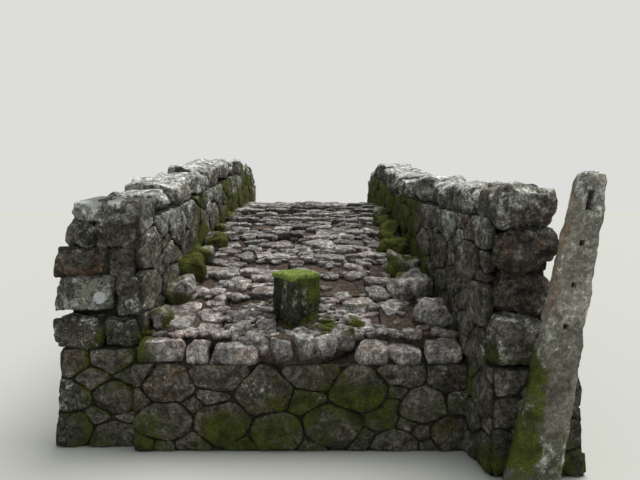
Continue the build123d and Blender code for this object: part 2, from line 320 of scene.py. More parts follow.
def turned(p, yaw=0.0, pitch=0.0, roll=0.0):
    """Roll about Y, then yaw about Z, then pitch about X, in radians."""
    for angle, (a, b) in ((roll, (2, 0)), (yaw, (0, 1)), (pitch, (1, 2))):
        c, s = math.cos(angle), math.sin(angle)
        q = p.copy()
        q[:, a] = c * p[:, a] - s * p[:, b]
        q[:, b] = s * p[:, a] + c * p[:, b]
        p = q
    return p


def random_look(rng, lichen=0.5, moss=0.0):
    return np.array([rng.uniform(0.15, 0.85), rng.beta(1.6, 2.4), lichen * rng.uniform(0.3, 1.0), moss])


# Rubble: a power diagram of sites of mixed sizes, with each cell made into a stone

SPACING = 0.93  # how close two sites may be, as a share of their radii's sum
TILT = 0.3  # how far the stones' fronts slope at random


def scatter(rng, inside, box, sizes, aspect, tries):
    """Sites and radii in (u, v), biggest first. v counts aspect times as much, so stones lie flat."""
    (u0, u1), (v0, v1) = box
    sites, radii = np.zeros((0, 2)), np.zeros(0)
    for size in sizes:
        candidates = np.column_stack([rng.uniform(u0, u1, tries), rng.uniform(v0, v1, tries)])
        for candidate in candidates[inside(candidates[:, 0], candidates[:, 1])]:
            d = (sites - candidate) * (1, aspect)
            if len(sites) == 0 or np.all(np.hypot(d[:, 0], d[:, 1]) > (radii + size) * SPACING):
                sites = np.vstack([sites, candidate])
                radii = np.append(radii, size * rng.uniform(0.9, 1.1))
    return sites, radii


def clip(polygon, nx, ny, c):
    """The part of a convex polygon with nx*u + ny*v <= c."""
    out = []
    for (ax, ay), (bx, by) in zip(polygon, polygon[1:] + polygon[:1]):
        da, db = nx * ax + ny * ay - c, nx * bx + ny * by - c
        if da <= 0:
            out.append((ax, ay))
        if da * db < 0:
            t = da / (da - db)
            out.append((ax + t * (bx - ax), ay + t * (by - ay)))
    return out


def cells(sites, radii, aspect, limits):
    """Each site's cell as a convex polygon. limits gives half planes at a site, as (nx, ny, c)."""
    scaled = sites * (1, aspect)
    for i, (u, v) in enumerate(sites):
        reach = radii[i] * 3.2
        polygon = [(u - reach, v - reach), (u + reach, v - reach), (u + reach, v + reach), (u - reach, v + reach)]
        d = scaled - scaled[i]
        gap = np.hypot(d[:, 0], d[:, 1])
        for j in np.argsort(gap)[1:20]:
            nx, ny = d[j]
            c = (nx * nx + ny * ny + radii[i] ** 2 - radii[j] ** 2) / 2
            polygon = clip(polygon, nx, ny * aspect, c + nx * u + ny * aspect * v)
            if len(polygon) < 3:
                break
        for nx, ny, c in limits(u, v):
            if len(polygon) >= 3:
                polygon = clip(polygon, nx, ny, c)
        if len(polygon) >= 3:
            yield polygon


LUMP_FACES = {}


def lump_faces(around, rings):
    """Triangles over a point in front, rings of points behind it, and a point at the back."""
    if (around, rings) not in LUMP_FACES:
        pairs = [(a, (a + 1) % around) for a in range(around)]
        faces = [(0, 1 + a, 1 + b) for a, b in pairs]
        for k in range(rings - 1):
            low, high = 1 + k * around, 1 + (k + 1) * around
            for a, b in pairs:
                faces += [(low + a, high + a, high + b), (low + a, high + b, low + b)]
        last, back = 1 + (rings - 1) * around, 1 + rings * around
        LUMP_FACES[around, rings] = np.array(faces + [(back, last + b, last + a) for a, b in pairs])
    return LUMP_FACES[around, rings]


def lump(rng, polygon, joint, height, around=16, bands=5, sharp=15.0, back=0.05):
    """A stone on a polygonal cell: points (u, v, d) with d out of the surface, faces, rim factors and size.

    Gives None for a cell that is too small.
    """
    poly = np.array(polygon)
    following = np.roll(poly, -1, axis=0)
    cross = poly[:, 0] * following[:, 1] - following[:, 0] * poly[:, 1]
    area = cross.sum() / 2
    if abs(area) < 0.0012:
        return None
    centre = ((poly + following) * cross[:, None]).sum(0) / (6 * area)
    edge = following - poly
    length = np.hypot(edge[:, 0], edge[:, 1])
    keep = length > 1e-5
    normal = np.column_stack([edge[:, 1], -edge[:, 0]])[keep] / length[keep, None]
    normal *= np.sign(area)
    distance = ((poly[keep] - centre) * normal).sum(1) - joint / 2 * rng.uniform(0.5, 1.5, keep.sum())
    if distance.min() < 0.012:
        return None
    angle = np.arange(around) * 2 * math.pi / around + rng.uniform(0, 1)
    ray = np.column_stack([np.cos(angle), np.sin(angle)])
    pull = np.maximum(ray @ normal.T, 0) / distance
    radius = (pull**sharp).sum(1) ** (-1 / sharp)
    for waves, depth in ((2, 0.02), (3, 0.03), (5, 0.03), (8, 0.018)):
        radius *= 1 + depth * rng.uniform(0.3, 1.2) * np.sin(waves * angle + rng.uniform(0, 6.3))
    size = math.sqrt(abs(area))
    height = height * min(1.2, 0.55 + size * 1.6)
    phi = np.linspace(0, math.pi / 2, bands + 1)[1:]
    spread = np.sin(phi) ** 0.62
    rise = np.cos(phi) ** 0.42
    spread = np.concatenate([spread, [0.985, 0.86]])
    rise = np.concatenate([rise * height, [-0.012, -back]])
    # rim rises down the stone's sides into the joint, where the colour is darkened with dirt and painted shade
    rim = np.concatenate([ramp(phi, 0.95, 1.55), [1, 1]])
    uv = centre + spread[:, None, None] * (radius[:, None] * ray)[None]
    d = np.repeat(rise[:, None], around, axis=1)
    points = np.concatenate([uv, d[..., None]], axis=2).reshape(-1, 3)
    points = np.vstack([[*centre, height], points, [*centre, -back]])
    slope = rng.normal(size=2) * TILT * height / size
    front = points[:, 2] > 0
    points[:, 2] += np.where(front, (points[:, :2] - centre) @ slope * (points[:, 2] / height), 0)
    rim = np.concatenate([[0], np.repeat(rim, around), [1]])
    return points, lump_faces(around, bands + 2), rim, size


def jiggled(rng, polygon, amount):
    """A cell turned, resized and moved a little, so that rows of stones don't look ruled."""
    poly = np.array(polygon)
    middle = poly.mean(0)
    angle = rng.normal() * 0.16 * amount
    c, s = math.cos(angle), math.sin(angle)
    local = (poly - middle) @ np.array([[c, s], [-s, c]]) * rng.uniform(1 - 0.16 * amount, 1 + 0.12 * amount)
    local += local * rng.uniform(-0.1, 0.1, (len(poly), 1)) * amount
    return [tuple(q) for q in local + middle + rng.normal(size=2) * (0.012, 0.028) * amount]


def rubble(
    pile, rng, sites, radii, aspect, limits, place, height, joint, detail=(16, 5), bump=0.012, tint=None, lean=0.0,
    jiggle=0.0, skip=0.0,
):
    """Adds a stone for each cell. place maps (u, v, d) arrays to bridge points.

    height is how far stones stand out, detail their points around and rings, bump their unevenness, lean their
    slope along v, and skip the share that is missing.
    """
    for polygon in cells(sites, radii, aspect, limits):
        if skip and rng.uniform() < skip:
            continue
        if jiggle:
            polygon = jiggled(rng, polygon, jiggle)
        made = lump(rng, polygon, joint, height * rng.uniform(0.75, 1.35), *detail)
        if made is None:
            continue
        points, faces, rim, size = made
        if jiggle:
            points[:, 2] += rng.uniform(-0.016, 0.014) * jiggle
        if lean:
            middle = points[0, 1]
            points[:, 2] -= np.where(points[:, 2] > -0.02, (points[:, 1] - middle) * lean * rng.uniform(0.4, 1.4), 0)
        verts = place(points[:, 0], points[:, 1], points[:, 2])
        core = place(points[:1, 0], points[:1, 1], points[:1, 2] - 0.25 * size - height)
        out = unit(verts - core)
        where = verts + rng.uniform(-30, 30, 3)
        strength = bump * min(1.5, 0.5 + 2.2 * size)
        amount = strength * (rough(where, 6.5) + 0.7 * np.abs(noise(where, 15, 9)) + 0.35 * noise(where, 34, 4))
        verts = verts + out * (amount * (1 - 0.6 * rim))[:, None]
        pile.add(verts, faces, tint(verts[0]) if tint else random_look(rng), rim)


def clad(pile, rng, inside, box, sizes, aspect, limits, place, height, joint, tries=900, **options):
    """Covers a face with rubble: scatters the sites in it and adds their stones."""
    sites, radii = scatter(rng, inside, box, sizes, aspect, tries)
    rubble(pile, rng, sites, radii, aspect, limits, place, height, joint, **options)


def end_face(y, direction):
    """A place function for the plane across the bridge at y, facing along direction."""
    return lambda u, v, d: np.column_stack([u, y + direction * d, v])


# Materials

CRYSTAL, SPECK, STREAK = (0.42, 0.4, 0.37), (0.035, 0.032, 0.028), (0.045, 0.042, 0.036)
# DIRT_AND_SHADE is the dark colour of dirt and painted shade in the joints and under the stones
DIRT_AND_SHADE, GRIT = (0.022, 0.019, 0.015), (0.24, 0.215, 0.19)
MOSS_DARK, MOSS_LIGHT, MOSS_OLD = (0.036, 0.044, 0.009), (0.22, 0.25, 0.045), (0.055, 0.055, 0.015)
DRY_LEAF, BROWN_LEAF, PALE_LEAF = (0.16, 0.11, 0.05), (0.3, 0.12, 0.05), (0.42, 0.36, 0.2)
DISC_FLATTENED = 0.2  # single lichens reach further along Y, so that they lie on an uneven face


class Nodes:
    """Short ways to wire one material."""

    def __init__(self, name):
        self.material = bpy.data.materials.new(name)
        self.material.use_nodes = True
        self.tree = self.material.node_tree
        self.where = self.new("TexCoord").outputs["Object"]

    def put(self, socket, value):
        if hasattr(value, "is_output"):
            self.tree.links.new(value, socket)
        elif value is not None:
            socket.default_value = value

    def new(self, kind, **inputs):
        node = self.tree.nodes.new(f"ShaderNode{kind}")
        for key, value in inputs.items():
            self.put(node.inputs[key.replace("_", " ")], value)
        return node

    def noise(self, scale, detail, roughness, distortion=0.0):
        node = self.new(
            "TexNoise", Vector=self.where, Scale=scale, Detail=detail, Roughness=roughness, Distortion=distortion
        )
        return node.outputs["Fac"]

    def spots(self, scale, where=None, smoothness=None):
        """Distance to the nearest of scattered points."""
        node = self.new("TexVoronoi", Vector=self.where if where is None else where, Scale=scale)
        if smoothness:
            node.feature = "SMOOTH_F1"
            self.put(node.inputs["Smoothness"], smoothness)
        return node.outputs["Distance"]

    def math(self, operation, a, b, kind="Math", output=0):
        node = self.new(kind)
        node.operation = operation
        for socket, value in zip(node.inputs, (a, b)):
            self.put(socket, value)
        return node.outputs[output]

    def times(self, a, b):
        return self.math("MULTIPLY", a, b)

    def sum(self, *terms):
        """Sum of terms, each a value or a (value, weight) pair."""
        total = None
        for term in terms:
            part = self.times(*term) if isinstance(term, tuple) else term
            total = part if total is None else self.math("ADD", total, part)
        return total

    def centred(self, value, weight, middle=0.5):
        return self.times(self.math("SUBTRACT", value, middle), weight)

    def ramp(self, value, low, high, out_low=0.0, out_high=1.0):
        node = self.new("MapRange", Value=value, From_Min=low, From_Max=high, To_Min=out_low, To_Max=out_high)
        node.interpolation_type = "SMOOTHSTEP"
        return node.outputs[0]

    def mix(self, factor, a, b, blend="MIX"):
        node = self.new("Mix")
        node.data_type = "RGBA"
        node.blend_type = blend
        self.put(node.inputs[0], factor)
        for socket, value in zip([s for s in node.inputs if s.type == "RGBA"], (a, b)):
            self.put(socket, value if hasattr(value, "is_output") else (*value, 1.0))
        return next(s for s in node.outputs if s.type == "RGBA")

    def bump(self, height, distance):
        return self.new("Bump", Strength=1.0, Distance=distance, Height=height).outputs[0]

    def attribute(self, name, output="Fac"):
        node = self.new("Attribute")
        node.attribute_name = name
        return node.outputs[output]

    def finish(self, colour, roughness, normal, specular):
        inputs = self.tree.nodes["Principled BSDF"].inputs
        keys = ("Base Color", "Roughness", "Normal", "Specular IOR Level")
        for key, value in zip(keys, (colour, roughness, normal, specular)):
            self.put(inputs[key], value)
        return self.material


def granite(
    name, dark, light, warm, relief=1.0, lichen=1.0, dirt_and_shade=0.55, lichen_colour=(0.44, 0.45, 0.41), spread=0.34,
    contrast=1.0, discs=(),
):
    """Rough weathered stone with lichen and moss where the look attribute has them, and dirt with painted shade in the
    joints.

    spread is how much the stones' values differ, contrast how strong the mottling within a stone is. discs are
    single lichens as (x, y, z, radius, raggedness, colour) in bridge metres.
    """
    m = Nodes(name)
    value, warmth, pale = m.new("SeparateColor", Color=m.attribute("look", "Color")).outputs
    green, rim = m.attribute("look", "Alpha"), m.attribute("rim")
    broad = m.noise(2.6, 5, 0.6)
    patches = m.noise(8.0, 6, 0.62, 0.6)
    grain = m.noise(38.0, 5, 0.7)
    crystals = m.noise(170.0, 3, 0.6)
    pits = m.noise(19.0, 8, 0.75, 0.4)

    tone = m.sum((patches, 0.75), (grain, 0.45), (value, spread))
    colour = m.mix(m.ramp(tone, 0.48, 0.88 + 0.5 * spread), dark, light)
    rust = m.times(m.ramp(m.noise(5.0, 4, 0.6, 0.8), 0.42, 0.68), m.ramp(warmth, 0.35, 0.85))
    colour = m.mix(m.times(rust, 0.8), colour, warm)
    colour = m.mix(m.ramp(crystals, 0.52, 0.72, 0.0, 0.35), colour, CRYSTAL)
    colour = m.mix(m.ramp(m.noise(55.0, 3, 0.5), 0.58, 0.72, 0.0, 0.55), colour, SPECK)
    streaks = m.ramp(m.sum(broad, (patches, 0.5)), 0.66, 0.95)
    colour = m.mix(m.times(streaks, 0.6), colour, STREAK)

    # Lichen in crusts and freckles, with painted sky light making it brighter where the stone looks up
    cover = m.sum((pale, 0.24 * lichen), m.centred(broad, 0.5))
    crust = m.ramp(m.sum(m.noise(17.0, 9, 0.72, 0.6), cover), 0.66, 0.74)
    freckled = m.ramp(m.sum(m.noise(6.0, 2, 0.5), cover), 0.6, 0.75)
    spots = m.spots(27.0, m.mix(0.93, m.noise(25.0, 2, 0.5), m.where), 0.2)
    freckles = m.times(m.ramp(spots, 0.3, 0.18), freckled)
    upward = m.new("SeparateXYZ", Vector=m.new("NewGeometry").outputs["Normal"]).outputs["Z"]
    sky_lit_lichen = m.mix(m.ramp(upward, 0.1, 0.7), lichen_colour, [min(0.8, 1.6 * c) for c in lichen_colour])
    grey = m.mix(m.ramp(m.noise(48.0, 5, 0.75), 0.35, 0.6), [0.5 * c for c in lichen_colour], sky_lit_lichen)
    colour = m.mix(m.times(m.math("MAXIMUM", crust, freckles), 0.82), colour, grey)

    mottle = m.times(
        m.ramp(pits, 0.36, 0.64, 1 - 0.62 * contrast, 1 + 0.6 * contrast),
        m.ramp(m.noise(64.0, 6, 0.75), 0.34, 0.66, 1 - 0.4 * contrast, 1 + 0.4 * contrast),
    )
    clouds = m.ramp(m.noise(5.2, 5, 0.6, 0.5), 0.34, 0.66, 1.3 - 0.65 * contrast, 1.3 + 0.7 * contrast)
    colour = m.mix(1.0, colour, m.times(mottle, clouds), "MULTIPLY")
    if discs:
        flattened = m.math("MULTIPLY", m.where, (1.0, DISC_FLATTENED, 1.0), "VectorMath")
        edge = m.noise(20.0, 6, 0.7)
        flecks = m.ramp(m.noise(75.0, 4, 0.7), 0.3, 0.5, 0.45, 0.95)
    for x, y, z, radius, ragged, paint in discs:
        middle = (x + SHIFT[0], DISC_FLATTENED * (y + SHIFT[1]), z)
        distance = m.math("DISTANCE", flattened, middle, "VectorMath", "Value")
        inside = m.ramp(m.sum(distance, m.centred(edge, ragged)), radius, 0.88 * radius)
        colour = m.mix(m.times(inside, flecks), colour, paint)

    # Dirt and painted shade: darker where rim is high, deep in the joints and under the stones
    dirt_and_shade_mask = m.times(m.ramp(m.sum(rim, (grain, 0.35)), 0.35, 1.15), dirt_and_shade)
    colour = m.mix(dirt_and_shade_mask, colour, DIRT_AND_SHADE)
    mossy = m.ramp(m.sum((green, 1.35), m.centred(patches, 0.9, 0.55), m.centred(grain, 0.5)), 0.5, 0.82)
    leaf = m.mix(m.ramp(m.noise(90.0, 5, 0.75), 0.34, 0.66), MOSS_DARK, MOSS_LIGHT)
    leaf = m.mix(m.ramp(m.noise(7.0, 3, 0.6), 0.4, 0.7), leaf, MOSS_OLD)
    colour = m.mix(mossy, colour, leaf)

    hollows = m.ramp(pits, 0.36, 0.64)
    cushions = m.times(mossy, m.noise(150.0, 3, 0.7))
    height = m.sum((patches, 0.7), (grain, 0.5), (hollows, 0.3), (crystals, 0.07), (crust, 0.06), (cushions, 0.35))
    return m.finish(colour, m.ramp(mossy, 0.0, 1.0, 0.86, 1.0), m.bump(height, 0.05 * relief), 0.22)


def moss_cushion(name, dark, light):
    m = Nodes(name)
    fine, clumps = m.noise(190.0, 4, 0.75), m.noise(32.0, 4, 0.6)
    colour = m.mix(m.ramp(m.sum((fine, 0.5), (clumps, 0.6)), 0.42, 0.68), dark, light)
    colour = m.mix(m.ramp(m.noise(60.0, 2, 0.5), 0.64, 0.74, 0.0, 0.7), colour, DRY_LEAF)
    return m.finish(colour, 1.0, m.bump(m.sum((fine, 0.5), clumps), 0.02), 0.1)


def soil(name, dark, light, litter, pebble):
    """Trodden earth or weak mortar, with small stones, and with dead leaves where litter is set."""
    m = Nodes(name)
    broad, fine, crumbs = m.noise(3.5, 5, 0.6), m.noise(45.0, 5, 0.7), m.noise(26.0, 8, 0.8)
    colour = m.mix(m.ramp(m.sum((broad, 0.6), (fine, 0.6)), 0.4, 0.85), dark, light)
    grit = m.times(m.ramp(m.spots(42.0), 0.34, 0.2), m.ramp(m.noise(14.0, 2, 0.5), 0.5, 0.62, 0.0, pebble))
    colour = m.mix(grit, colour, GRIT)
    if litter:
        leaves = m.times(m.ramp(m.spots(19.0), 0.27, 0.2), m.ramp(m.noise(23.0, 1, 0.5), 0.6, 0.68))
        colour = m.mix(m.times(leaves, 0.8), colour, m.mix(m.noise(31.0, 1, 0.5), BROWN_LEAF, PALE_LEAF))
    colour = m.mix(1.0, colour, m.ramp(crumbs, 0.36, 0.64, 0.4, 1.6), "MULTIPLY")
    loose = m.sum((fine, 0.3), (grit, 0.4))
    return m.finish(colour, 0.95, m.bump(m.sum((broad, 0.6), loose, (crumbs, 0.8)), 0.06), 0.15)


WALL = granite("wall_granite", (0.047, 0.04, 0.031), (0.215, 0.193, 0.155), (0.125, 0.075, 0.04))
CAP = granite(
    "cap_granite", (0.052, 0.046, 0.038), (0.31, 0.29, 0.25), (0.14, 0.09, 0.052), lichen=1.75,
    lichen_colour=(0.66, 0.68, 0.64),
)
# Five lichens on the boulder, and three on the cap of the same wall end
BOULDER_DISCS = (
    (-1.93, -4.87, 1.4, 0.05, 0.07, (0.36, 0.4, 0.31)), (-1.865, -4.87, 1.46, 0.04, 0.07, (0.4, 0.43, 0.34)),
    (-1.95, -4.87, 1.26, 0.04, 0.08, (0.34, 0.37, 0.29)), (-1.73, -4.87, 1.25, 0.04, 0.08, (0.3, 0.33, 0.27)),
    (-1.80, -4.87, 1.353, 0.06, 0.05, (0.95, 0.97, 1.0)),
    (-1.97, -4.87, 2.215, 0.06, 0.3, (0.9, 0.93, 0.95)), (-1.82, -4.87, 2.2, 0.07, 0.3, (0.85, 0.88, 0.9)),
    (-1.64, -4.87, 2.225, 0.06, 0.3, (0.8, 0.83, 0.83)),
)
BOULDER = granite(
    "boulder_granite", (0.036, 0.031, 0.024), (0.19, 0.168, 0.135), (0.14, 0.062, 0.032), discs=BOULDER_DISCS
)
PAVING = granite(
    "paving_granite", (0.066, 0.06, 0.058), (0.46, 0.425, 0.415), (0.28, 0.18, 0.14), relief=0.9, lichen=0.5, dirt_and_shade=0.4,
    spread=0.5,
)
ARCH = granite("arch_granite", (0.06, 0.053, 0.046), (0.24, 0.22, 0.19), (0.13, 0.09, 0.055), lichen=0.8)
BOLLARD = granite(
    "bollard_granite", (0.006, 0.007, 0.003), (0.045, 0.05, 0.02), (0.03, 0.03, 0.012), relief=0.6, lichen=1.4,
    lichen_colour=(0.26, 0.27, 0.18),
)
POST = granite(
    "post_granite", (0.15, 0.135, 0.11), (0.43, 0.4, 0.34), (0.42, 0.21, 0.1), relief=0.55, dirt_and_shade=0.5,
    lichen_colour=(0.62, 0.62, 0.56), contrast=0.6,
)
BRIGHT_MOSS = moss_cushion("bright_moss", (0.085, 0.12, 0.025), (0.33, 0.42, 0.11))
MORTAR = soil("joint_earth", (0.022, 0.019, 0.014), (0.085, 0.075, 0.06), litter=False, pebble=0.3)
EARTH = soil("trodden_earth", (0.062, 0.046, 0.036), (0.225, 0.17, 0.138), litter=True, pebble=0.5)


# Walls

RUBBLE = "rubble_masonry"
INNER_PROUD, OUTER_PROUD = 0.034, 0.03
INNER_JOINT, OUTER_JOINT = 0.011, 0.012
FLATNESS = 1.45  # how much wider than high the stones are
BED_GAP = -0.005  # how far the rubble stays below the caps


def slope_of(curve, y):
    return (float(curve(y + 0.01)) - float(curve(y - 0.01))) / 0.02


def below(curve, y, extra):
    """Half plane under a curve z(y), from its tangent at y."""
    m = slope_of(curve, y)
    return (-m, 1.0, float(curve(y)) - m * y + extra)


def above(curve, y, extra):
    m = slope_of(curve, y)
    return (m, -1.0, m * y - float(curve(y)) + extra)


def arch_limit(y, z, radius):
    """Half plane outside the arch's circle of this radius, on the side of (y, z)."""
    length = math.hypot(y, z - ARCH_Z)
    dy, dz = y / length, (z - ARCH_Z) / length
    return (-dy, -dz, -(dz * ARCH_Z + radius))


def wall_rule(side):
    """Lichen on the parapets' upper stones; moss low on the inner faces and on most of them near the crown."""
    sign = SIDE[side]
    top = bed_line(side)

    def rule(p, normals, look, rim):
        y, z = p[:, 1], p[:, 2]
        facing_in = -sign * normals[:, 0] > 0.2
        over_deck = z - deck(y)
        broad = rough(p, 1.6, 3, 2)
        middle = ramp(y, -3.9, -1.2) if side == "left" else ramp(y, -4.4, -2.0)
        middle = middle * (0.4 + 0.6 * ramp(y, 2.2, 0.2))
        moss_in = 0.1 + 0.62 * middle + 0.5 * ramp(over_deck, 0.42, 0.0) - 0.25 * ramp(over_deck, 0.5, 1.0)
        moss_out = 0.2 + 0.3 * ramp(z, 0.7, 0.0)
        look[:, 3] = np.clip(np.where(facing_in, moss_in, moss_out) + 0.34 * broad + 0.1 * rim, 0, 1)
        if side == "left":
            look[:, 0] += np.where(facing_in, 0.3, 0.0)
            look[:, 2] += np.where(facing_in, 0.2, 0.0)
        high = ramp(z - top(y), -0.55, 0.0)
        look[:, 2] = look[:, 2] * (0.45 + 0.9 * high) * (1 - 0.5 * look[:, 3]) + 0.25 * high

    return rule


for side, sign in SIDE.items():
    rng = seeded("walls", sign)
    bed = bed_line(side)
    end_near, end_far = -ENDS[side, "near"], ENDS[side, "far"]
    near, far = end_near + STACK, end_far - STACK
    near_corner, far_corner = end_near + CORNER[side], end_far - CORNER[side]

    def inner_place(u, v, d):
        return np.column_stack([sign * (inner(u) - d), u, v])

    def outer_place(u, v, d):
        return np.column_stack([sign * (inner(u) + thick(v) + d), u, v])

    def outer_top(u):
        return np.where((u < near) | (u > far), BANK, bed(u))

    def outer_limits(u, v):
        limits = [(0, -1, 0), (1, 0, end_far), (-1, 0, -end_near), arch_limit(u, v, OUTER_R + 0.012)]
        if u < near or u > far:
            limits.append((0, 1, BANK))
        else:
            limits += [below(bed, u, BED_GAP), (1, 0, far), (-1, 0, -near)]
        if v < 0.45:
            limits.append((-1, 0, -ARCH_HALF) if u > 0 else (1, 0, -ARCH_HALF))
        return limits

    pile = Pile()
    clad(
        pile, rng,
        lambda u, v: (v > deck(u) + 0.02) & (v < bed(u) - 0.03) & (u > near_corner + 0.05) & (u < far_corner - 0.05),
        ((near_corner, far_corner), (BANK, WALL_TOP)), (0.26, 0.21, 0.17, 0.135, 0.1, 0.075, 0.055), FLATNESS,
        lambda u, v: (above(deck, u, 0.04), below(bed, u, BED_GAP), (1, 0, far_corner), (-1, 0, -near_corner)),
        inner_place, INNER_PROUD, INNER_JOINT, tries=1500, detail=(28, 9), bump=0.018,
    )
    if side == "right":
        # Below the bank, where this wall runs on past the ramp
        clad(
            pile, rng, lambda u, v: (v > 0.05) & (v < BANK - 0.05), ((end_near + 0.02, -HALF_LENGTH - 0.02), (0, BANK)),
            (0.2, 0.15, 0.11, 0.08), 1.3,
            lambda u, v: ((0, -1, 0), (0, 1, BANK), (1, 0, -HALF_LENGTH), (-1, 0, -end_near)),
            inner_place, INNER_PROUD, INNER_JOINT, tries=200, bump=0.014,
        )
    pile.build(f"{side}_inner_rubble", WALL, RUBBLE, rule=wall_rule(side))

    pile = Pile()
    clad(
        pile, rng,
        lambda u, v: (
            (v > 0.04) & (v < outer_top(u) - 0.03) & (np.hypot(u, v - ARCH_Z) > OUTER_R + 0.05)
            & ((np.abs(u) > ARCH_HALF + 0.12) | (v > 0.35)) & (u > end_near + 0.04) & (u < end_far - 0.04)
        ),
        ((end_near, end_far), (0, WALL_TOP)), (0.25, 0.2, 0.16, 0.13, 0.1, 0.075, 0.055), FLATNESS, outer_limits,
        outer_place, OUTER_PROUD, OUTER_JOINT, tries=2200, detail=(18, 6), bump=0.011,
    )
    for end, direction in END.items():
        reach = direction * ENDS[side, end]
        face = float(inner(reach))
        middle = sign * (face + 0.36)
        clad(
            pile, rng, lambda u, v: (v > 0.05) & (v < BANK - 0.04) & (np.abs(u - middle) < 0.33),
            ((middle - 0.36, middle + 0.36), (0, BANK)), (0.2, 0.16, 0.12, 0.09, 0.07), 1.35,
            lambda u, v: (
                (0, -1, 0), (0, 1, BANK), (-sign, 0, -face), (sign, BATTER, face + TOP_THICKNESS + BATTER * WALL_TOP)
            ),
            end_face(reach, direction), OUTER_PROUD, OUTER_JOINT, tries=300, detail=(22, 7),
        )
    pile.build(f"{side}_outer_rubble", WALL, RUBBLE, rule=wall_rule(side))


# Abutment faces, the arch ring and its soffit

KERB_FOOT = 0.79  # level where the rubble ends under the toe stones
RING_ROWS = 25  # stones round the arch


def plain_rule(base_moss, low_moss):
    """Moss on the arch and the abutments, more of it low down."""

    def rule(p, normals, look, rim):
        look[:, 3] = base_moss + low_moss * ramp(p[:, 2], 0.8, 0.0) + 0.3 * rough(p, 1.9, 8, 2)
        look[:, 2] = look[:, 2] * 0.6

    return rule


for end, direction in END.items():
    rng = seeded("abutments", direction)
    pile = Pile()
    half = float(inner(HALF_LENGTH))
    clad(
        pile, rng, lambda u, v: (v > 0.04) & (v < KERB_FOOT - 0.05), ((-half, half), (0, KERB_FOOT - 0.01)),
        (0.24, 0.19, 0.15, 0.11, 0.08, 0.06), 1.4,
        lambda u, v: ((0, -1, 0), (0, 1, KERB_FOOT), (1, 0, half), (-1, 0, half)),
        end_face(direction * HALF_LENGTH, direction), OUTER_PROUD, OUTER_JOINT, detail=(24, 8),
    )
    # The low stones that the arch springs from
    river_face = end_face(direction * ARCH_HALF, -direction)
    spread = float(inner(ARCH_HALF))
    edges = np.cumsum(rng.uniform(0.28, 0.5, 12)) - spread - 0.75
    for u0, u1 in zip(edges, edges[1:]):
        u1 = min(u1, spread + 0.7)
        if u1 - u0 < 0.12:
            continue
        made = lump(rng, [(u0, 0.0), (u1, 0.0), (u1, 0.165), (u0, 0.165)], 0.016, 0.03, 18, 5, 14)
        if made:
            points, faces, rim, _ = made
            pile.add(river_face(*points.T), faces, random_look(rng), rim)
    pile.build(f"{end}_abutment_stones", WALL, RUBBLE, rule=plain_rule(0.25, 0.35))

rng = seeded("soffit")
pile = Pile()
for row in range(RING_ROWS):
    a0, a1 = (ARCH_R * (-ARCH_TURN + 2 * ARCH_TURN * k / RING_ROWS) for k in (row, row + 1))
    half = float(inner(ARCH_R * math.sin((a0 + a1) / 2 / ARCH_R))) - 0.02
    x = -half
    while x < half - 0.02:
        step = rng.uniform(0.25, 0.6)
        following = half if half - x - step < 0.2 else x + step
        wobble = rng.uniform(-0.012, 0.012, 4)
        quad = [(a0 + wobble[0], x), (a1 + wobble[1], x + wobble[2]), (a1, following + wobble[3]), (a0, following)]
        made = lump(rng, quad, 0.016, 0.018, 14, 4, 13, 0.03)
        if made:
            points, faces, rim, _ = made
            radius = ARCH_R - points[:, 2] + 0.008 * rough(points + row, 6.0)
            angle = points[:, 0] / ARCH_R
            verts = np.column_stack([points[:, 1], radius * np.sin(angle), ARCH_Z + radius * np.cos(angle)])
            pile.add(verts, faces, random_look(rng, 0.3), rim)
        x = following
pile.build("arch_soffit_stones", ARCH, "arch_stone", rule=plain_rule(0.12, 0.3))

for side, sign in SIDE.items():
    rng = seeded("ring", sign)
    pile = Pile()
    mean = ARCH_R + RING / 2
    width = 2 * ARCH_TURN * mean / RING_ROWS
    for index in range(RING_ROWS):
        angle = -ARCH_TURN + 2 * ARCH_TURN * (index + 0.5) / RING_ROWS
        y, z = mean * math.sin(angle), ARCH_Z + mean * math.cos(angle)
        deep = thick(z) + 0.02
        radial = RING / 2 + rng.uniform(-0.005, 0.02)
        half = (deep / 2 + rng.uniform(0.0, 0.02), width / 2 - 0.002, radial)
        p, faces = stone_block(rng, half, 0.035, (10, 6, 8), 6, (0.92, 1.02), 0.01, 9)
        p[:, 1] *= (mean + p[:, 2]) / mean
        verts = turned(p, pitch=-angle) + (sign * (float(inner(y)) + deep / 2), y, z)
        # rim darkens each stone towards its joints with the next, with dirt and painted shade
        rim = ramp(np.abs(p[:, 1]) / (width / 2), 0.78, 1.0)
        pile.add(verts, faces, random_look(rng), rim * 0.8)
    pile.build(f"{side}_arch_stones", ARCH, "arch_stone", (f"{side}_voussoirs",), plain_rule(0.2, 0.3))


# Cap stones and end stacks


def cap_rule(side):
    def rule(p, normals, look, rim):
        broad = rough(p, 2.2, 17, 2)
        up = ramp(normals[:, 2], 0.15, 0.8)
        inwards = ramp(-SIDE[side] * normals[:, 0], 0.2, 0.8)
        look[:, 3] = 0.16 + 0.3 * ramp(p[:, 1], -3.6, -1.0) * inwards - 0.12 * up + 0.26 * broad
        look[:, 2] = 0.1 + 0.25 * look[:, 2] + 0.55 * up + 0.3 * broad

    return rule


def stack_rule(side):
    def rule(p, normals, look, rim):
        low = ramp(p[:, 2] - BANK, 0.45, 0.0)
        inwards = ramp(-SIDE[side] * normals[:, 0], 0.3, 0.9)
        look[:, 3] = 0.12 + 0.28 * low + 0.3 * low * inwards + 0.24 * rough(p, 3.0, 23, 2)
        look[:, 2] = look[:, 2] + 0.35 * ramp(normals[:, 2], 0.3, 0.9)

    return rule


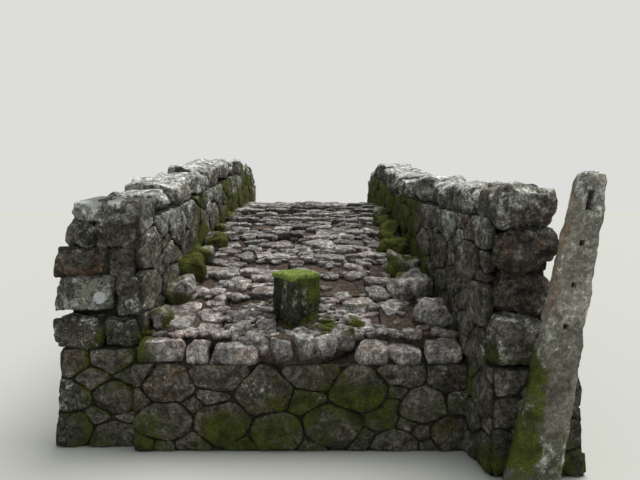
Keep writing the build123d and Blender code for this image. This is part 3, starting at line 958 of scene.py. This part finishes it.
for side, sign in SIDE.items():
    for end, direction in END.items():
        rng = seeded("caps", 3 * sign + direction)
        points = cap_bed(side, end)
        pile = Pile()
        for (y0, z0), (y1, z1), thickness in zip(points, points[1:], CAP_THICKNESS[side]):
            y, z = (y0 + y1) / 2, (z0 + z1) / 2
            length, slope = math.hypot(y1 - y0, z1 - z0), math.atan2(z1 - z0, abs(y1 - y0))
            n = (20, 22, 12) if end == "near" else (12, 14, 8)
            half = (thick(z) / 2 + rng.uniform(0.0, 0.03), length / 2 + 0.004, thickness / 2 + 0.02)
            p, faces = stone_block(rng, half, 0.08, n, 12, (0.74, 0.96), 0.034)
            p[:, 2] += thickness / 2 - 0.01
            p = turned(p, -sign * math.asin(y / PLAN_R) + rng.uniform(-0.04, 0.04), direction * slope)
            x = sign * (float(inner(y)) + thick(z) / 2 + rng.uniform(-0.015, 0.015))
            # rim darkens the cap stones' lower parts with dirt and painted shade
            rim = ramp(-(p[:, 2] - p[:, 2].mean()), 0.02, 0.11) * 0.7
            pile.add(p + (x, y, z), faces, random_look(rng, 1.0), rim)
        pile.build(f"{side}_{end}_cap_stones", CAP, "cap_stone", (f"{side}_{end}_coping",), cap_rule(side))

# From the foot up: name, height, set-out along Y, swell of the outer face, rounding, roll in degrees, how much the
# corners keep, pillow, each stone's share of the width from the outer face in, and value, warmth, lichen
STACK_PROUD = 0.02
CORE_INSET = (0.13, 0.12, -0.01)
STACKS = {
    "right": (
        ("foot", 0.40, 0.0, 0.02, 0.09, 0.0, (0.8, 0.98), 0.25, (0.3, 0.7), (1.0, 0.2, 0.55)),
        ("lower", 0.37, -0.055, 0.0, 0.18, -4.0, (0.6, 0.8), 0.85, (1.0,), (0.25, 0.5, 0.3)),
        ("upper", 0.35, -0.02, 0.045, 0.17, 8.0, (0.6, 0.8), 0.75, (1.0,), (0.2, 0.6, 0.25)),
        ("cap", 0.32, -0.075, 0.01, 0.11, -2.0, (0.74, 0.95), 0.1, (1.0,), (0.9, 0.7, 0.75)),
    ),
    "left": (
        ("foot", 0.27, -0.03, 0.15, 0.07, 0.0, (0.8, 0.98), 0.15, (0.58, 0.42), (0.35, 0.4, 0.3)),
        ("boulder", 0.37, -0.04, 0.18, 0.13, -3.0, (0.74, 0.93), 0.12, (0.72, 0.28), (1.0, 0.2, 0.8)),
        ("lower", 0.25, -0.06, 0.165, 0.07, -2.0, (0.78, 0.96), 0.2, (0.66, 0.34), (0.35, 1.0, 0.1)),
        ("upper", 0.255, -0.07, 0.09, 0.08, 3.0, (0.78, 0.96), 0.25, (0.4, 0.6), (0.5, 0.55, 0.3)),
        ("cap", 0.165, -0.035, 0.03, 0.05, 2.0, (0.82, 1.0), 0.1, (1.0,), (0.8, 0.1, 1.0)),
    ),
}

for side, sign in SIDE.items():
    for end, direction in END.items():
        rng = seeded("stacks", 3 * sign + direction)
        reach = direction * ENDS[side, end]
        back = reach - direction * STACK
        z = BANK
        far_pile = Pile()
        for name, height, set_out, swell, rounding, roll, chop, pillow, shares, (value, warmth, lichen) in STACKS[side]:
            length = STACK + set_out
            width = thick(z + height / 2) + swell
            n = (30, 24, 18) if end == "near" else (14, 12, 10)
            pile = Pile() if end == "near" else far_pile
            outer = float(inner(back + direction * STACK / 2)) + width + STACK_PROUD
            # A block inside, so that no light comes through between the stones; its value is zero and its rim one, so
            # it is coloured dark as dirt and painted shade in the gaps
            half = np.array([width, length, height]) / 2 - CORE_INSET
            core, faces = stone_block(rng, half, 0.03, (4, 4, 4), 0)
            middle = (sign * (outer - width / 2), back + direction * (length / 2 - 0.03), z + height / 2)
            pile.add(core + middle, faces, np.zeros(4), 1.0)
            for share in shares:
                across = share * (width + 0.01)
                half = np.array([across / 2 + (0.012 if share < 1 else 0.02), length / 2 + 0.025, height / 2 + 0.014])
                p, faces = stone_block(rng, half, rounding, n, 12, chop, 0.034, 6.5, pillow)
                x_share, _, z_share = (np.abs(p) / half).T
                # rim darkens the stones towards their beds and sides, with dirt and painted shade between the stones
                rim = np.maximum(ramp(z_share, 0.72, 1.02), ramp(x_share, 0.85, 1.0)) * 0.85
                yaw = -sign * math.asin(reach / PLAN_R) + rng.uniform(-0.02, 0.02)
                p = turned(p, yaw, roll=math.radians(-roll * sign))
                look = np.array([value, warmth, lichen, 0.1])
                if share < 0.5:
                    look = np.array([rng.uniform(0.3, 0.8), rng.uniform(0.1, 0.6), 0.3, 0.3])
                x = sign * (outer - across / 2)
                y = back + direction * length / 2 + (rng.uniform(-0.015, 0.015) if share < 1 else 0)
                pile.add(p + (x, y, z + height / 2), faces, look, rim)
                outer -= across
            if end == "near":
                node = f"near_{side}_end_{name}"
                pile.build(f"{node}_stone", BOULDER, "cap_stone", (node,), stack_rule(side))
            z += height
        if end == "far":
            nodes = (f"far_{side}_end_bed_stones", f"far_{side}_end_tie_stones")
            far_pile.build(f"far_{side}_end_stones", BOULDER, "cap_stone", nodes, stack_rule(side))

# Deck

BOLLARD_X, BOLLARD_Y, BOLLARD_TURN = -0.06, -4.48, math.radians(37)
BOLLARD_HALF, BOLLARD_HEIGHT = 0.1725, 0.6
BOLLARD_CLEAR, BOLLARD_FOOT = 0.25, 0.21
BED_Y, BED_REACH_X, BED_REACH_Y = -4.62, 0.55, 0.4
KERB_Y, BEHIND_KERB = 4.885, -4.77
DECK_FLATNESS, DECK_PROUD, DECK_JOINT = 1.25, 0.03, 0.02
SLAB_SIZES = ((0.24, 0.15), (0.17, 0.11, 0.07), (0.14, 0.1, 0.065))
DECK_PEBBLES, BED_PEBBLES = 800, 260


def deck_rule(p, normals, look, rim):
    broad = rough(p, 1.3, 29, 2)
    edge = ramp(inner(p[:, 1]) - np.abs(p[:, 0]), 0.3, 0.0)
    look[:, 3] = 0.05 + 0.5 * edge + 0.25 * broad
    look[:, 2] = 0.35 * look[:, 2] + 0.1 * broad


def on_deck(u, v):
    """Whether a point is between the walls and clear of the bollard and its bed."""
    free = np.hypot(u - BOLLARD_X, v - BOLLARD_Y) > BOLLARD_CLEAR
    front = ((u - BOLLARD_X) / BED_REACH_X) ** 2 + ((v - BED_Y) / BED_REACH_Y) ** 2 > 1
    return (np.abs(u) < inner(v) - 0.03) & free & (front | (v > -4.5))


def slab_limits(x0, x1, y0, y1, rng):
    """A slab's four sides, each turned a little, and the bollard's footprint where it is close."""
    tilt = rng.uniform(-0.09, 0.09, 4)
    cx, cy = (x0 + x1) / 2, (y0 + y1) / 2
    sides = [
        (1, tilt[0], x1 + tilt[0] * cy), (-1, tilt[1], -x0 + tilt[1] * cy),
        (tilt[2], 1, y1 + tilt[2] * cx), (tilt[3], -1, -y0 + tilt[3] * cx),
    ]

    def limits(u, v):
        du, dv = u - BOLLARD_X, v - BOLLARD_Y
        gap = math.hypot(du, dv)
        if gap > 1.0:
            return sides
        du, dv = du / gap, dv / gap
        return sides + [(-du, -dv, -(du * BOLLARD_X + dv * BOLLARD_Y + BOLLARD_FOOT))]

    return limits


def pebble(rng, size, length, height, lumps):
    """A small chopped stone. length, height and lumps are shares of its size."""
    half = (size * length, size, size * height)
    return stone_block(rng, half, size * 0.4, (4, 4, 3), 6, (0.65, 0.95), lumps * size, 0.5 / size)


rng = seeded("deck")
pile = Pile()


def deck_tint(p):
    near = ramp(p[1], -2.0, -4.0)
    value, warmth = rng.uniform(0.1, 0.95) + 0.2 * near, rng.uniform(0.1, 0.6) + 0.35 * near
    return np.array([value, warmth, rng.uniform(0, 0.6), 0.0])


for direction in (-1, 1):
    for row, (close, away) in enumerate(zip(EDGES, EDGES[1:])):
        z0, z1 = float(deck(close)) - COURSE_LIP / 2, float(deck(away)) + COURSE_LIP / 2

        def course_place(u, v, d):
            t = (np.abs(v) - close) / (away - close)
            return np.column_stack([u, v, z0 + t * (z1 - z0) + d])

        y0, y1 = sorted((direction * close, direction * away))
        half = float(inner(away)) - 0.01
        lines = [-half, *slab_joints(direction, row, (close + away) / 2), half]
        for x0, x1 in zip(lines, lines[1:]):
            # How big the stones are that a slab is broken into
            sizes = SLAB_SIZES[rng.integers(3)]
            sites, radii = scatter(
                rng,
                lambda u, v: on_deck(u, v) & (u > x0 + 0.03) & (u < x1 - 0.03) & (v > y0 + 0.03) & (v < y1 - 0.03),
                ((x0, x1), (y0, y1)), sizes, DECK_FLATNESS, tries=14,
            )
            if len(sites):
                # Stones are missing from the near ramp, most of all on its right
                worn = (0.32 if x0 > 0.25 else 0.14) * float(ramp(y0, -1.6, -3.4)) + 0.02
                over = rng.uniform(0.0, 0.07)
                low_y, high_y = (y0 - over, y1) if direction < 0 else (y0, y1 + over)
                rubble(
                    pile, rng, sites, radii, DECK_FLATNESS, slab_limits(x0, x1, low_y, high_y, rng), course_place,
                    DECK_PROUD, DECK_JOINT, detail=(24, 8), bump=0.015, tint=deck_tint, lean=0.09 * -direction,
                    jiggle=1.0, skip=worn,
                )
pile.build("deck_cobbles", PAVING, "paving_stone", rule=deck_rule)

pile = Pile()
for index in range(DECK_PEBBLES):
    y = rng.uniform(-4.75, 4.7)
    if index % 3 == 0:
        # Along a course's lip
        y = rng.normal(-rng.choice(EDGES[5:]), 0.03)
    if index % 10 == 1:
        y = rng.normal(BEHIND_KERB, 0.015)
    x = rng.uniform(-1, 1) * (float(inner(y)) - 0.05)
    size = rng.uniform(0.018, 0.05) * (1.25 if y < -2 else 0.8)
    if not on_deck(x, y) or y < -4.8:
        continue
    p, faces = pebble(rng, size, 1.3, 0.5, 0.25)
    p = turned(p, rng.uniform(0, 3), -y * 0.03)
    # rim darkens each pebble's lower part with dirt and painted shade
    pile.add(p + (x, y, float(deck(y)) + 0.006), faces, deck_tint((x, y)), ramp(-p[:, 2], 0, size * 0.5))
pile.build("deck_pebbles", PAVING, "paving_stone", rule=deck_rule)

for end, direction in END.items():
    rng = seeded("toes", direction)
    pile = Pile()
    half = float(inner(HALF_LENGTH))
    x = -half + 0.01
    while x < half - 0.08:
        width = rng.uniform(0.17, 0.46)
        if half - x - width < 0.15:
            width = half - x
        middle, x = x + width / 2, x + width
        if end == "near" and abs(middle - BOLLARD_X) < 0.42:
            continue
        size = (width / 2 - 0.006, rng.uniform(0.09, 0.125), rng.uniform(0.09, 0.13))
        p, faces = stone_block(rng, size, 0.045, (16, 12, 9), 11, (0.7, 0.95), 0.022, 8)
        p = turned(p, rng.uniform(-0.15, 0.15), rng.uniform(-0.08, 0.08), rng.uniform(-0.06, 0.06))
        level = float(deck(4.9)) - 0.085 + rng.uniform(-0.02, 0.015)
        # rim darkens the toe stones' lower parts with dirt and painted shade
        rim = ramp(-p[:, 2], -0.02, 0.1)
        pile.add(p + (middle, direction * KERB_Y, level), faces, deck_tint((middle, -4.9)), rim)
    pile.build(f"{end}_toe_stones", PAVING, "paving_stone", (f"{end}_toe_kerb",), deck_rule)

# The bed round the bollard, and stones along the foot of the walls: x, y, the half sizes, and moss for the latter

BED_STONES = (
    (-0.60, -4.50, 0.13, 0.10, 0.10), (-0.56, -4.72, 0.12, 0.10, 0.10), (-0.38, -4.86, 0.13, 0.09, 0.11),
    (-0.16, -4.93, 0.11, 0.08, 0.11), (0.03, -4.94, 0.10, 0.08, 0.12), (0.21, -4.92, 0.09, 0.08, 0.11),
    (0.38, -4.82, 0.12, 0.09, 0.10), (0.50, -4.63, 0.12, 0.11, 0.10), (0.53, -4.42, 0.11, 0.10, 0.09),
    (-0.33, -4.68, 0.11, 0.09, 0.08), (0.22, -4.70, 0.10, 0.09, 0.07), (-0.08, -4.78, 0.08, 0.06, 0.06),
)
FOOT_STONES = (
    (-1.22, -4.15, 0.17, 0.2, 0.16, 0.75), (-1.2, -3.75, 0.19, 0.24, 0.19, 1.4), (-1.14, -3.35, 0.15, 0.2, 0.13, 1.2),
    (-1.3, -4.62, 0.12, 0.16, 0.13, 0.55), (-1.08, -2.9, 0.12, 0.2, 0.11, 0.6), (-1.05, -2.4, 0.1, 0.2, 0.09, 0.6),
    (1.12, -4.05, 0.21, 0.22, 0.16, 0.6), (1.05, -3.6, 0.2, 0.24, 0.15, 0.75), (1.03, -3.1, 0.18, 0.22, 0.14, 1.1),
    (1.25, -4.55, 0.17, 0.2, 0.13, 0.55), (1.02, -2.6, 0.15, 0.22, 0.12, 1.3), (1.0, -2.05, 0.12, 0.22, 0.1, 1.0),
    (1.0, -1.5, 0.1, 0.22, 0.09, 0.6), (-1.02, -1.7, 0.09, 0.24, 0.09, 0.6),
)


def bed_rule(p, normals, look, rim):
    look[:, 3] = 0.3 + 0.34 * rough(p, 4.0, 31, 2)


def foot_rule(p, normals, look, rim):
    look[:, 3] = 0.8 * look[:, 3] + 0.38 * rough(p, 3.5, 37, 3) + 0.1 * normals[:, 2] - 0.08


rng = seeded("bed")
pile = Pile()
for x, y, *half in BED_STONES:
    p, faces = stone_block(rng, half, 0.05, (14, 12, 10), 10, (0.66, 0.92), 0.022, 8)
    p = turned(p, rng.uniform(-0.5, 0.5), rng.uniform(-0.12, 0.12), rng.uniform(-0.12, 0.12))
    level = max(float(deck(y)), 0.94) - 0.02
    look = np.array([rng.uniform(0.5, 1.0), rng.uniform(0.1, 0.5), 0.6, 0.2])
    # rim darkens the bed stones' lower parts with dirt and painted shade
    pile.add(p + (x, y, level), faces, look, ramp(-p[:, 2], -0.01, 0.07))
for _ in range(BED_PEBBLES):
    turn, reach = rng.uniform(0, 2 * math.pi), math.sqrt(rng.uniform(0.1, 1.0))
    x, y = BOLLARD_X + 0.62 * reach * math.cos(turn), BED_Y + 0.38 * reach * math.sin(turn)
    if math.hypot(x - BOLLARD_X, y - BOLLARD_Y) < 0.235 or y < -4.92:
        continue
    size = rng.uniform(0.022, 0.055)
    p, faces = pebble(rng, size, 1.2, 0.55, 0.2)
    p = turned(p, rng.uniform(0, 3), rng.uniform(-0.1, 0.1))
    level = max(float(deck(y)) + 0.012, BANK + 0.125 - 0.2 * max(reach - 0.6, 0))
    look = np.array([rng.uniform(0.3, 1.0), rng.uniform(0.1, 0.6), 0.6, 0.3])
    # rim darkens each pebble's lower part with dirt and painted shade
    pile.add(p + (x, y, level), faces, look, ramp(-p[:, 2], 0, size * 0.5))
pile.build("bollard_bed_stones", PAVING, "paving_stone", rule=bed_rule)

rng = seeded("feet")
pile = Pile()
for x, y, a, b, c, mossy in FOOT_STONES:
    p, faces = stone_block(rng, (a * 1.05, b * 0.95, c), 0.13, (17, 17, 12), 14, (0.7, 0.94), 0.05, 7, 0.6)
    p = turned(p, rng.uniform(-0.5, 0.5), -y * 0.03, rng.uniform(-0.15, 0.15))
    look = np.array([rng.uniform(0.2, 0.7), 0.3, 0.4, mossy])
    # rim darkens the foot stones' lower parts with dirt and painted shade
    pile.add(p + (x, y, float(deck(y)) + 0.3 * c), faces, look, ramp(-p[:, 2], 0.0, 0.1))
pile.build("wall_foot_stones", PAVING, "paving_stone", rule=foot_rule)

# Bollard with its moss


def bollard_rule(p, normals, look, rim):
    streaks = ramp(rough(p * (1.0, 1.0, 0.12), 13.0, 43, 2), 0.1, 0.7)
    look[:, 2] = 0.05 + 0.55 * streaks * ramp(p[:, 2], BANK + 0.1, BANK + 0.4)
    green = 0.24 + 0.42 * rough(p * (1.0, 1.0, 0.5), 8.0, 47, 2) + 0.25 * ramp(p[:, 0] - BOLLARD_X, 0.0, 0.15)
    look[:, 3] = green + 0.5 * ramp(p[:, 2], BANK + 0.54, BANK + 0.6)


rng = seeded("bollard")
pile = Pile()
half = (BOLLARD_HALF, BOLLARD_HALF, BOLLARD_HEIGHT / 2)
p, faces = stone_block(rng, half, 0.024, (30, 30, 40), 5, (0.9, 1.0), 0.009, 9)
p[:, :2] *= (1 - 0.05 * ramp(p[:, 2], -0.3, 0.3))[:, None]
# rim darkens the bollard's foot with dirt and painted shade
rim = ramp(-p[:, 2], 0.1, 0.2) * 0.7
middle = (BOLLARD_X, BOLLARD_Y, BANK + BOLLARD_HEIGHT / 2)
pile.add(turned(p, BOLLARD_TURN) + middle, faces, np.array([0.3, 0.2, 0.5, 0.2]), rim)
pile.build("bollard_stone", BOLLARD, "mossy_granite", ("bollard",), bollard_rule)

pile = Pile()
p, faces = stone_block(rng, (0.17, 0.17, 0.028), 0.028, (40, 40, 6), 0, (1, 1), 0.004, 30)
p[:, :2] *= (1 + 0.05 * noise(p, 22, 3))[:, None]
p[:, 2] += 0.007 * rough(p, 24, 5, 3) + 0.012 * (1 - (np.hypot(p[:, 0], p[:, 1]) / 0.2) ** 2)
middle = (BOLLARD_X, BOLLARD_Y, BANK + BOLLARD_HEIGHT)
pile.add(turned(p, BOLLARD_TURN) + middle, faces, np.array([0.5, 0, 0, 1]), 0.0)
pile.build("bollard_moss", BRIGHT_MOSS, "mossy_granite")

# The slotted post: rings of points up its length, closer together at the slot and mortises

POST_HEIGHT, POST_LEAN = 1.54, math.radians(9.3)
POST_X, POST_BACK, POST_MIDDLE = 1.96, -5.5, -5.635
POST_TOP = BANK + POST_HEIGHT
FOOT_WIDTH, TOP_WIDTH = 0.36 + 0.135 / POST_HEIGHT * BANK, 0.235
FOOT_HALF_DEPTH, TOP_HALF_DEPTH = 0.145, 0.115
HOLE_DEPTH = 0.09
# Middle, half width and half height of the slot and then of the mortises
HOLES = [(POST_TOP - 0.19, 0.025, 0.075)] + [(POST_TOP - 0.19 - 0.318 * k, 0.021, 0.021) for k in (1, 2, 3)]


def post_x(z):
    """The post's middle line at level z."""
    return POST_X + math.tan(POST_LEAN) * (z - BANK)


def with_steps(values, marks, step):
    """The values, with three close together at each mark, where the surface steps."""
    extra = [m + d for m in marks for d in (-step, 0.0)] + [m + step for m in marks]
    kept = [v for v in values if min(abs(v - m) for m in marks) > 2.5 * step]
    return np.array(sorted(kept + extra))


def band(start, following, around):
    """Quads between two rings of points."""
    pairs = [(a, (a + 1) % around) for a in range(around)]
    return [(start + a, start + b, following + b, following + a) for a, b in pairs]


def post_rule(p, normals, look, rim):
    broad = rough(p, 3.0, 61, 2)
    x = p[:, 0] - post_x(p[:, 2])
    left, right = ramp(-x, 0.06, 0.15), ramp(x, 0.05, 0.13)
    low, upper = ramp(p[:, 2], BANK + 0.55, BANK), ramp(p[:, 2], BANK + 0.6, BANK + 1.0)
    look[:, 0] -= 0.9 * low
    look[:, 1] = 0.15 + 0.95 * left * ramp(p[:, 2], BANK + 0.2, BANK + 0.45)
    look[:, 2] = 0.4 + 0.5 * broad + 0.2 * left
    look[:, 3] = 0.08 + 0.26 * low + 0.28 * low * ramp(-x, -0.05, 0.1) + 0.3 * right * upper + 0.3 * broad


levels = with_steps(np.linspace(0, POST_TOP, 110), [z + s * h for z, _, h in HOLES for s in (-1, 1)], 0.0025)
columns = with_steps(np.linspace(-0.16, 0.16, 15), [s * w for w in (0.021, 0.025) for s in (-1, 1)], 0.001)
spans = (columns - columns[0]) / (columns[-1] - columns[0]) * 2 - 1
# Each point of a ring as shares of the half width and half depth, with its x on the front
ring = [(s, -1.0, c) for s, c in zip(spans, columns)]
ring += [(1.0, t, None) for t in np.linspace(-1, 1, 10)[1:-1]]
ring += [(t, 1.0, None) for t in np.linspace(1, -1, 12)]
ring += [(-1.0, t, None) for t in np.linspace(1, -1, 10)[1:-1]]
around = len(ring)
verts = []
for z in levels:
    t = z / POST_TOP
    half_w = FOOT_WIDTH / 2 * (1 - t) + TOP_WIDTH / 2 * t
    half_d = FOOT_HALF_DEPTH * (1 - t) + TOP_HALF_DEPTH * t
    cut = ramp(z, POST_TOP - 0.06, POST_TOP)
    for s, t2, column in ring:
        squeeze = 1 - 0.16 * (abs(s) * abs(t2)) ** 6 - 0.12 * cut
        x, y = s * half_w * squeeze, t2 * half_d * squeeze
        deep = 0.0
        if column is None and s < 0:
            # The left side is drawn in towards the back
            x += 0.05 * (t2 + 1) / 2 * -s
        if column is not None:
            if abs(column) < 0.06:
                x = column
            if any(abs(z - middle) < half_z - 1e-4 and abs(x) < half_x - 5e-4 for middle, half_x, half_z in HOLES):
                deep = HOLE_DEPTH
        verts.append((post_x(z) + x, POST_BACK - half_d + y + deep, z, deep))
verts = np.array(verts)
deep, verts = verts[:, 3] > 0, verts[:, :3]
axis = np.column_stack([post_x(verts[:, 2]), np.full(len(verts), POST_MIDDLE), verts[:, 2]])
near_hole = np.zeros(len(verts))
for middle, half_x, half_z in HOLES:
    x = np.abs(verts[:, 0] - axis[:, 0])
    outside = np.maximum(x - half_x, 0) + np.maximum(np.abs(verts[:, 2] - middle) - half_z, 0)
    near_hole = np.maximum(near_hole, ramp(outside, 0.03, 0.0))
amount = 0.013 * rough(verts, 6.0, 53, 3) + 0.006 * rough(verts, 22.0, 59, 2)
uneven = (1 - near_hole) * ~deep * (verts[:, 1] <= POST_BACK - 0.01)
verts = verts + unit(verts - axis) * (amount * uneven)[:, None]

starts = [k * around for k in range(len(levels) + 3)]
faces = [face for start, following in zip(starts, starts[1:]) for face in band(start, following, around)]
tip = starts[-1] + around
faces += [(starts[-1] + a, starts[-1] + (a + 1) % around, tip) for a in range(around)]
faces.append(tuple(range(around))[::-1])
top_ring = verts[-around:]
crown = top_ring.mean(0)
cap = [crown + (top_ring - crown) * (s, s, 1) + (0, 0, lift) for s, lift in ((0.85, 0.012), (0.6, 0.022), (0.3, 0.028))]
cap = np.vstack(cap + [crown[None] + (0, 0, 0.03)])
cap[:, 2] += 0.006 * noise(cap, 20, 3) - 0.05 * (cap[:, 0] - crown[0])
pile = Pile()
# rim darkens the inside of the slot and the mortises with dirt and painted shade
rim = np.concatenate([deep, np.zeros(len(cap))])
pile.add(np.vstack([verts, cap]), faces, np.array([0.55, 0.5, 0.5, 0.1]), rim)
pile.build("slotted_post_stone", POST, "pale_granite", ("slotted_post",), post_rule)

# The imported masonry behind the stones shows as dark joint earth, and the deck as trodden earth

for name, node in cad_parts.items():
    node.data.materials.clear()
    node.data.materials.append(EARTH if name.startswith("deck_paving") or name == "bollard_bed" else MORTAR)

# Floor, light and camera

FLOOR_HALF, FLOOR_COLOUR = 40, (0.55, 0.55, 0.53, 1.0)
SKY, SKY_STRENGTH, BACKDROP = (0.86, 0.93, 0.9, 1), 0.5, (0.72, 0.73, 0.71, 1)
SUN_ENERGY, SUN_ANGLE, SUN_COLOUR, SUN_TURN = 3.1, 50, (1.0, 0.98, 0.92), (-20, 18, 0)
FOCAL_LENGTH = SENSOR = 36.0
EYE, EYE_PITCH = (0.17, -10.5, BANK + 1.5), -5.36

mesh = bpy.data.meshes.new("floor")
corners = [(x * FLOOR_HALF, y * FLOOR_HALF, 0) for x, y in ((-1, -1), (1, -1), (1, 1), (-1, 1))]
mesh.from_pydata(corners, [], [(0, 1, 2, 3)])
mesh.materials.append(Nodes("floor_paint").finish(FLOOR_COLOUR, 0.9, None, 0.1))
link("floor", mesh)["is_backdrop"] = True

world = bpy.data.worlds.new("sky")
bpy.context.scene.world = world
world.use_nodes = True
tree = world.node_tree
tree.nodes.clear()
choice = tree.nodes.new("ShaderNodeMixShader")
seen = tree.nodes.new("ShaderNodeLightPath").outputs["Is Camera Ray"]
tree.links.new(seen, choice.inputs[0])
for socket, colour, strength in ((choice.inputs[1], SKY, SKY_STRENGTH), (choice.inputs[2], BACKDROP, 1.0)):
    background = tree.nodes.new("ShaderNodeBackground")
    background.inputs["Color"].default_value = colour
    background.inputs["Strength"].default_value = strength
    tree.links.new(background.outputs[0], socket)
tree.links.new(choice.outputs[0], tree.nodes.new("ShaderNodeOutputWorld").inputs["Surface"])

sun = bpy.data.lights.new("sun", "SUN")
sun.energy, sun.angle, sun.color = SUN_ENERGY, math.radians(SUN_ANGLE), SUN_COLOUR
lamp = link("sun", sun)
lamp.rotation_euler = [math.radians(angle) for angle in SUN_TURN]
lamp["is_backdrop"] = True

camera = bpy.data.cameras.new("camera")
camera.lens, camera.sensor_width = FOCAL_LENGTH, SENSOR
eye = link("camera", camera)
eye.location = SHIFT + EYE
eye.rotation_euler = (math.radians(90 + EYE_PITCH), 0, 0)
bpy.context.scene.camera = eye
bpy.context.scene.view_settings.view_transform = "Standard"

low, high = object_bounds()
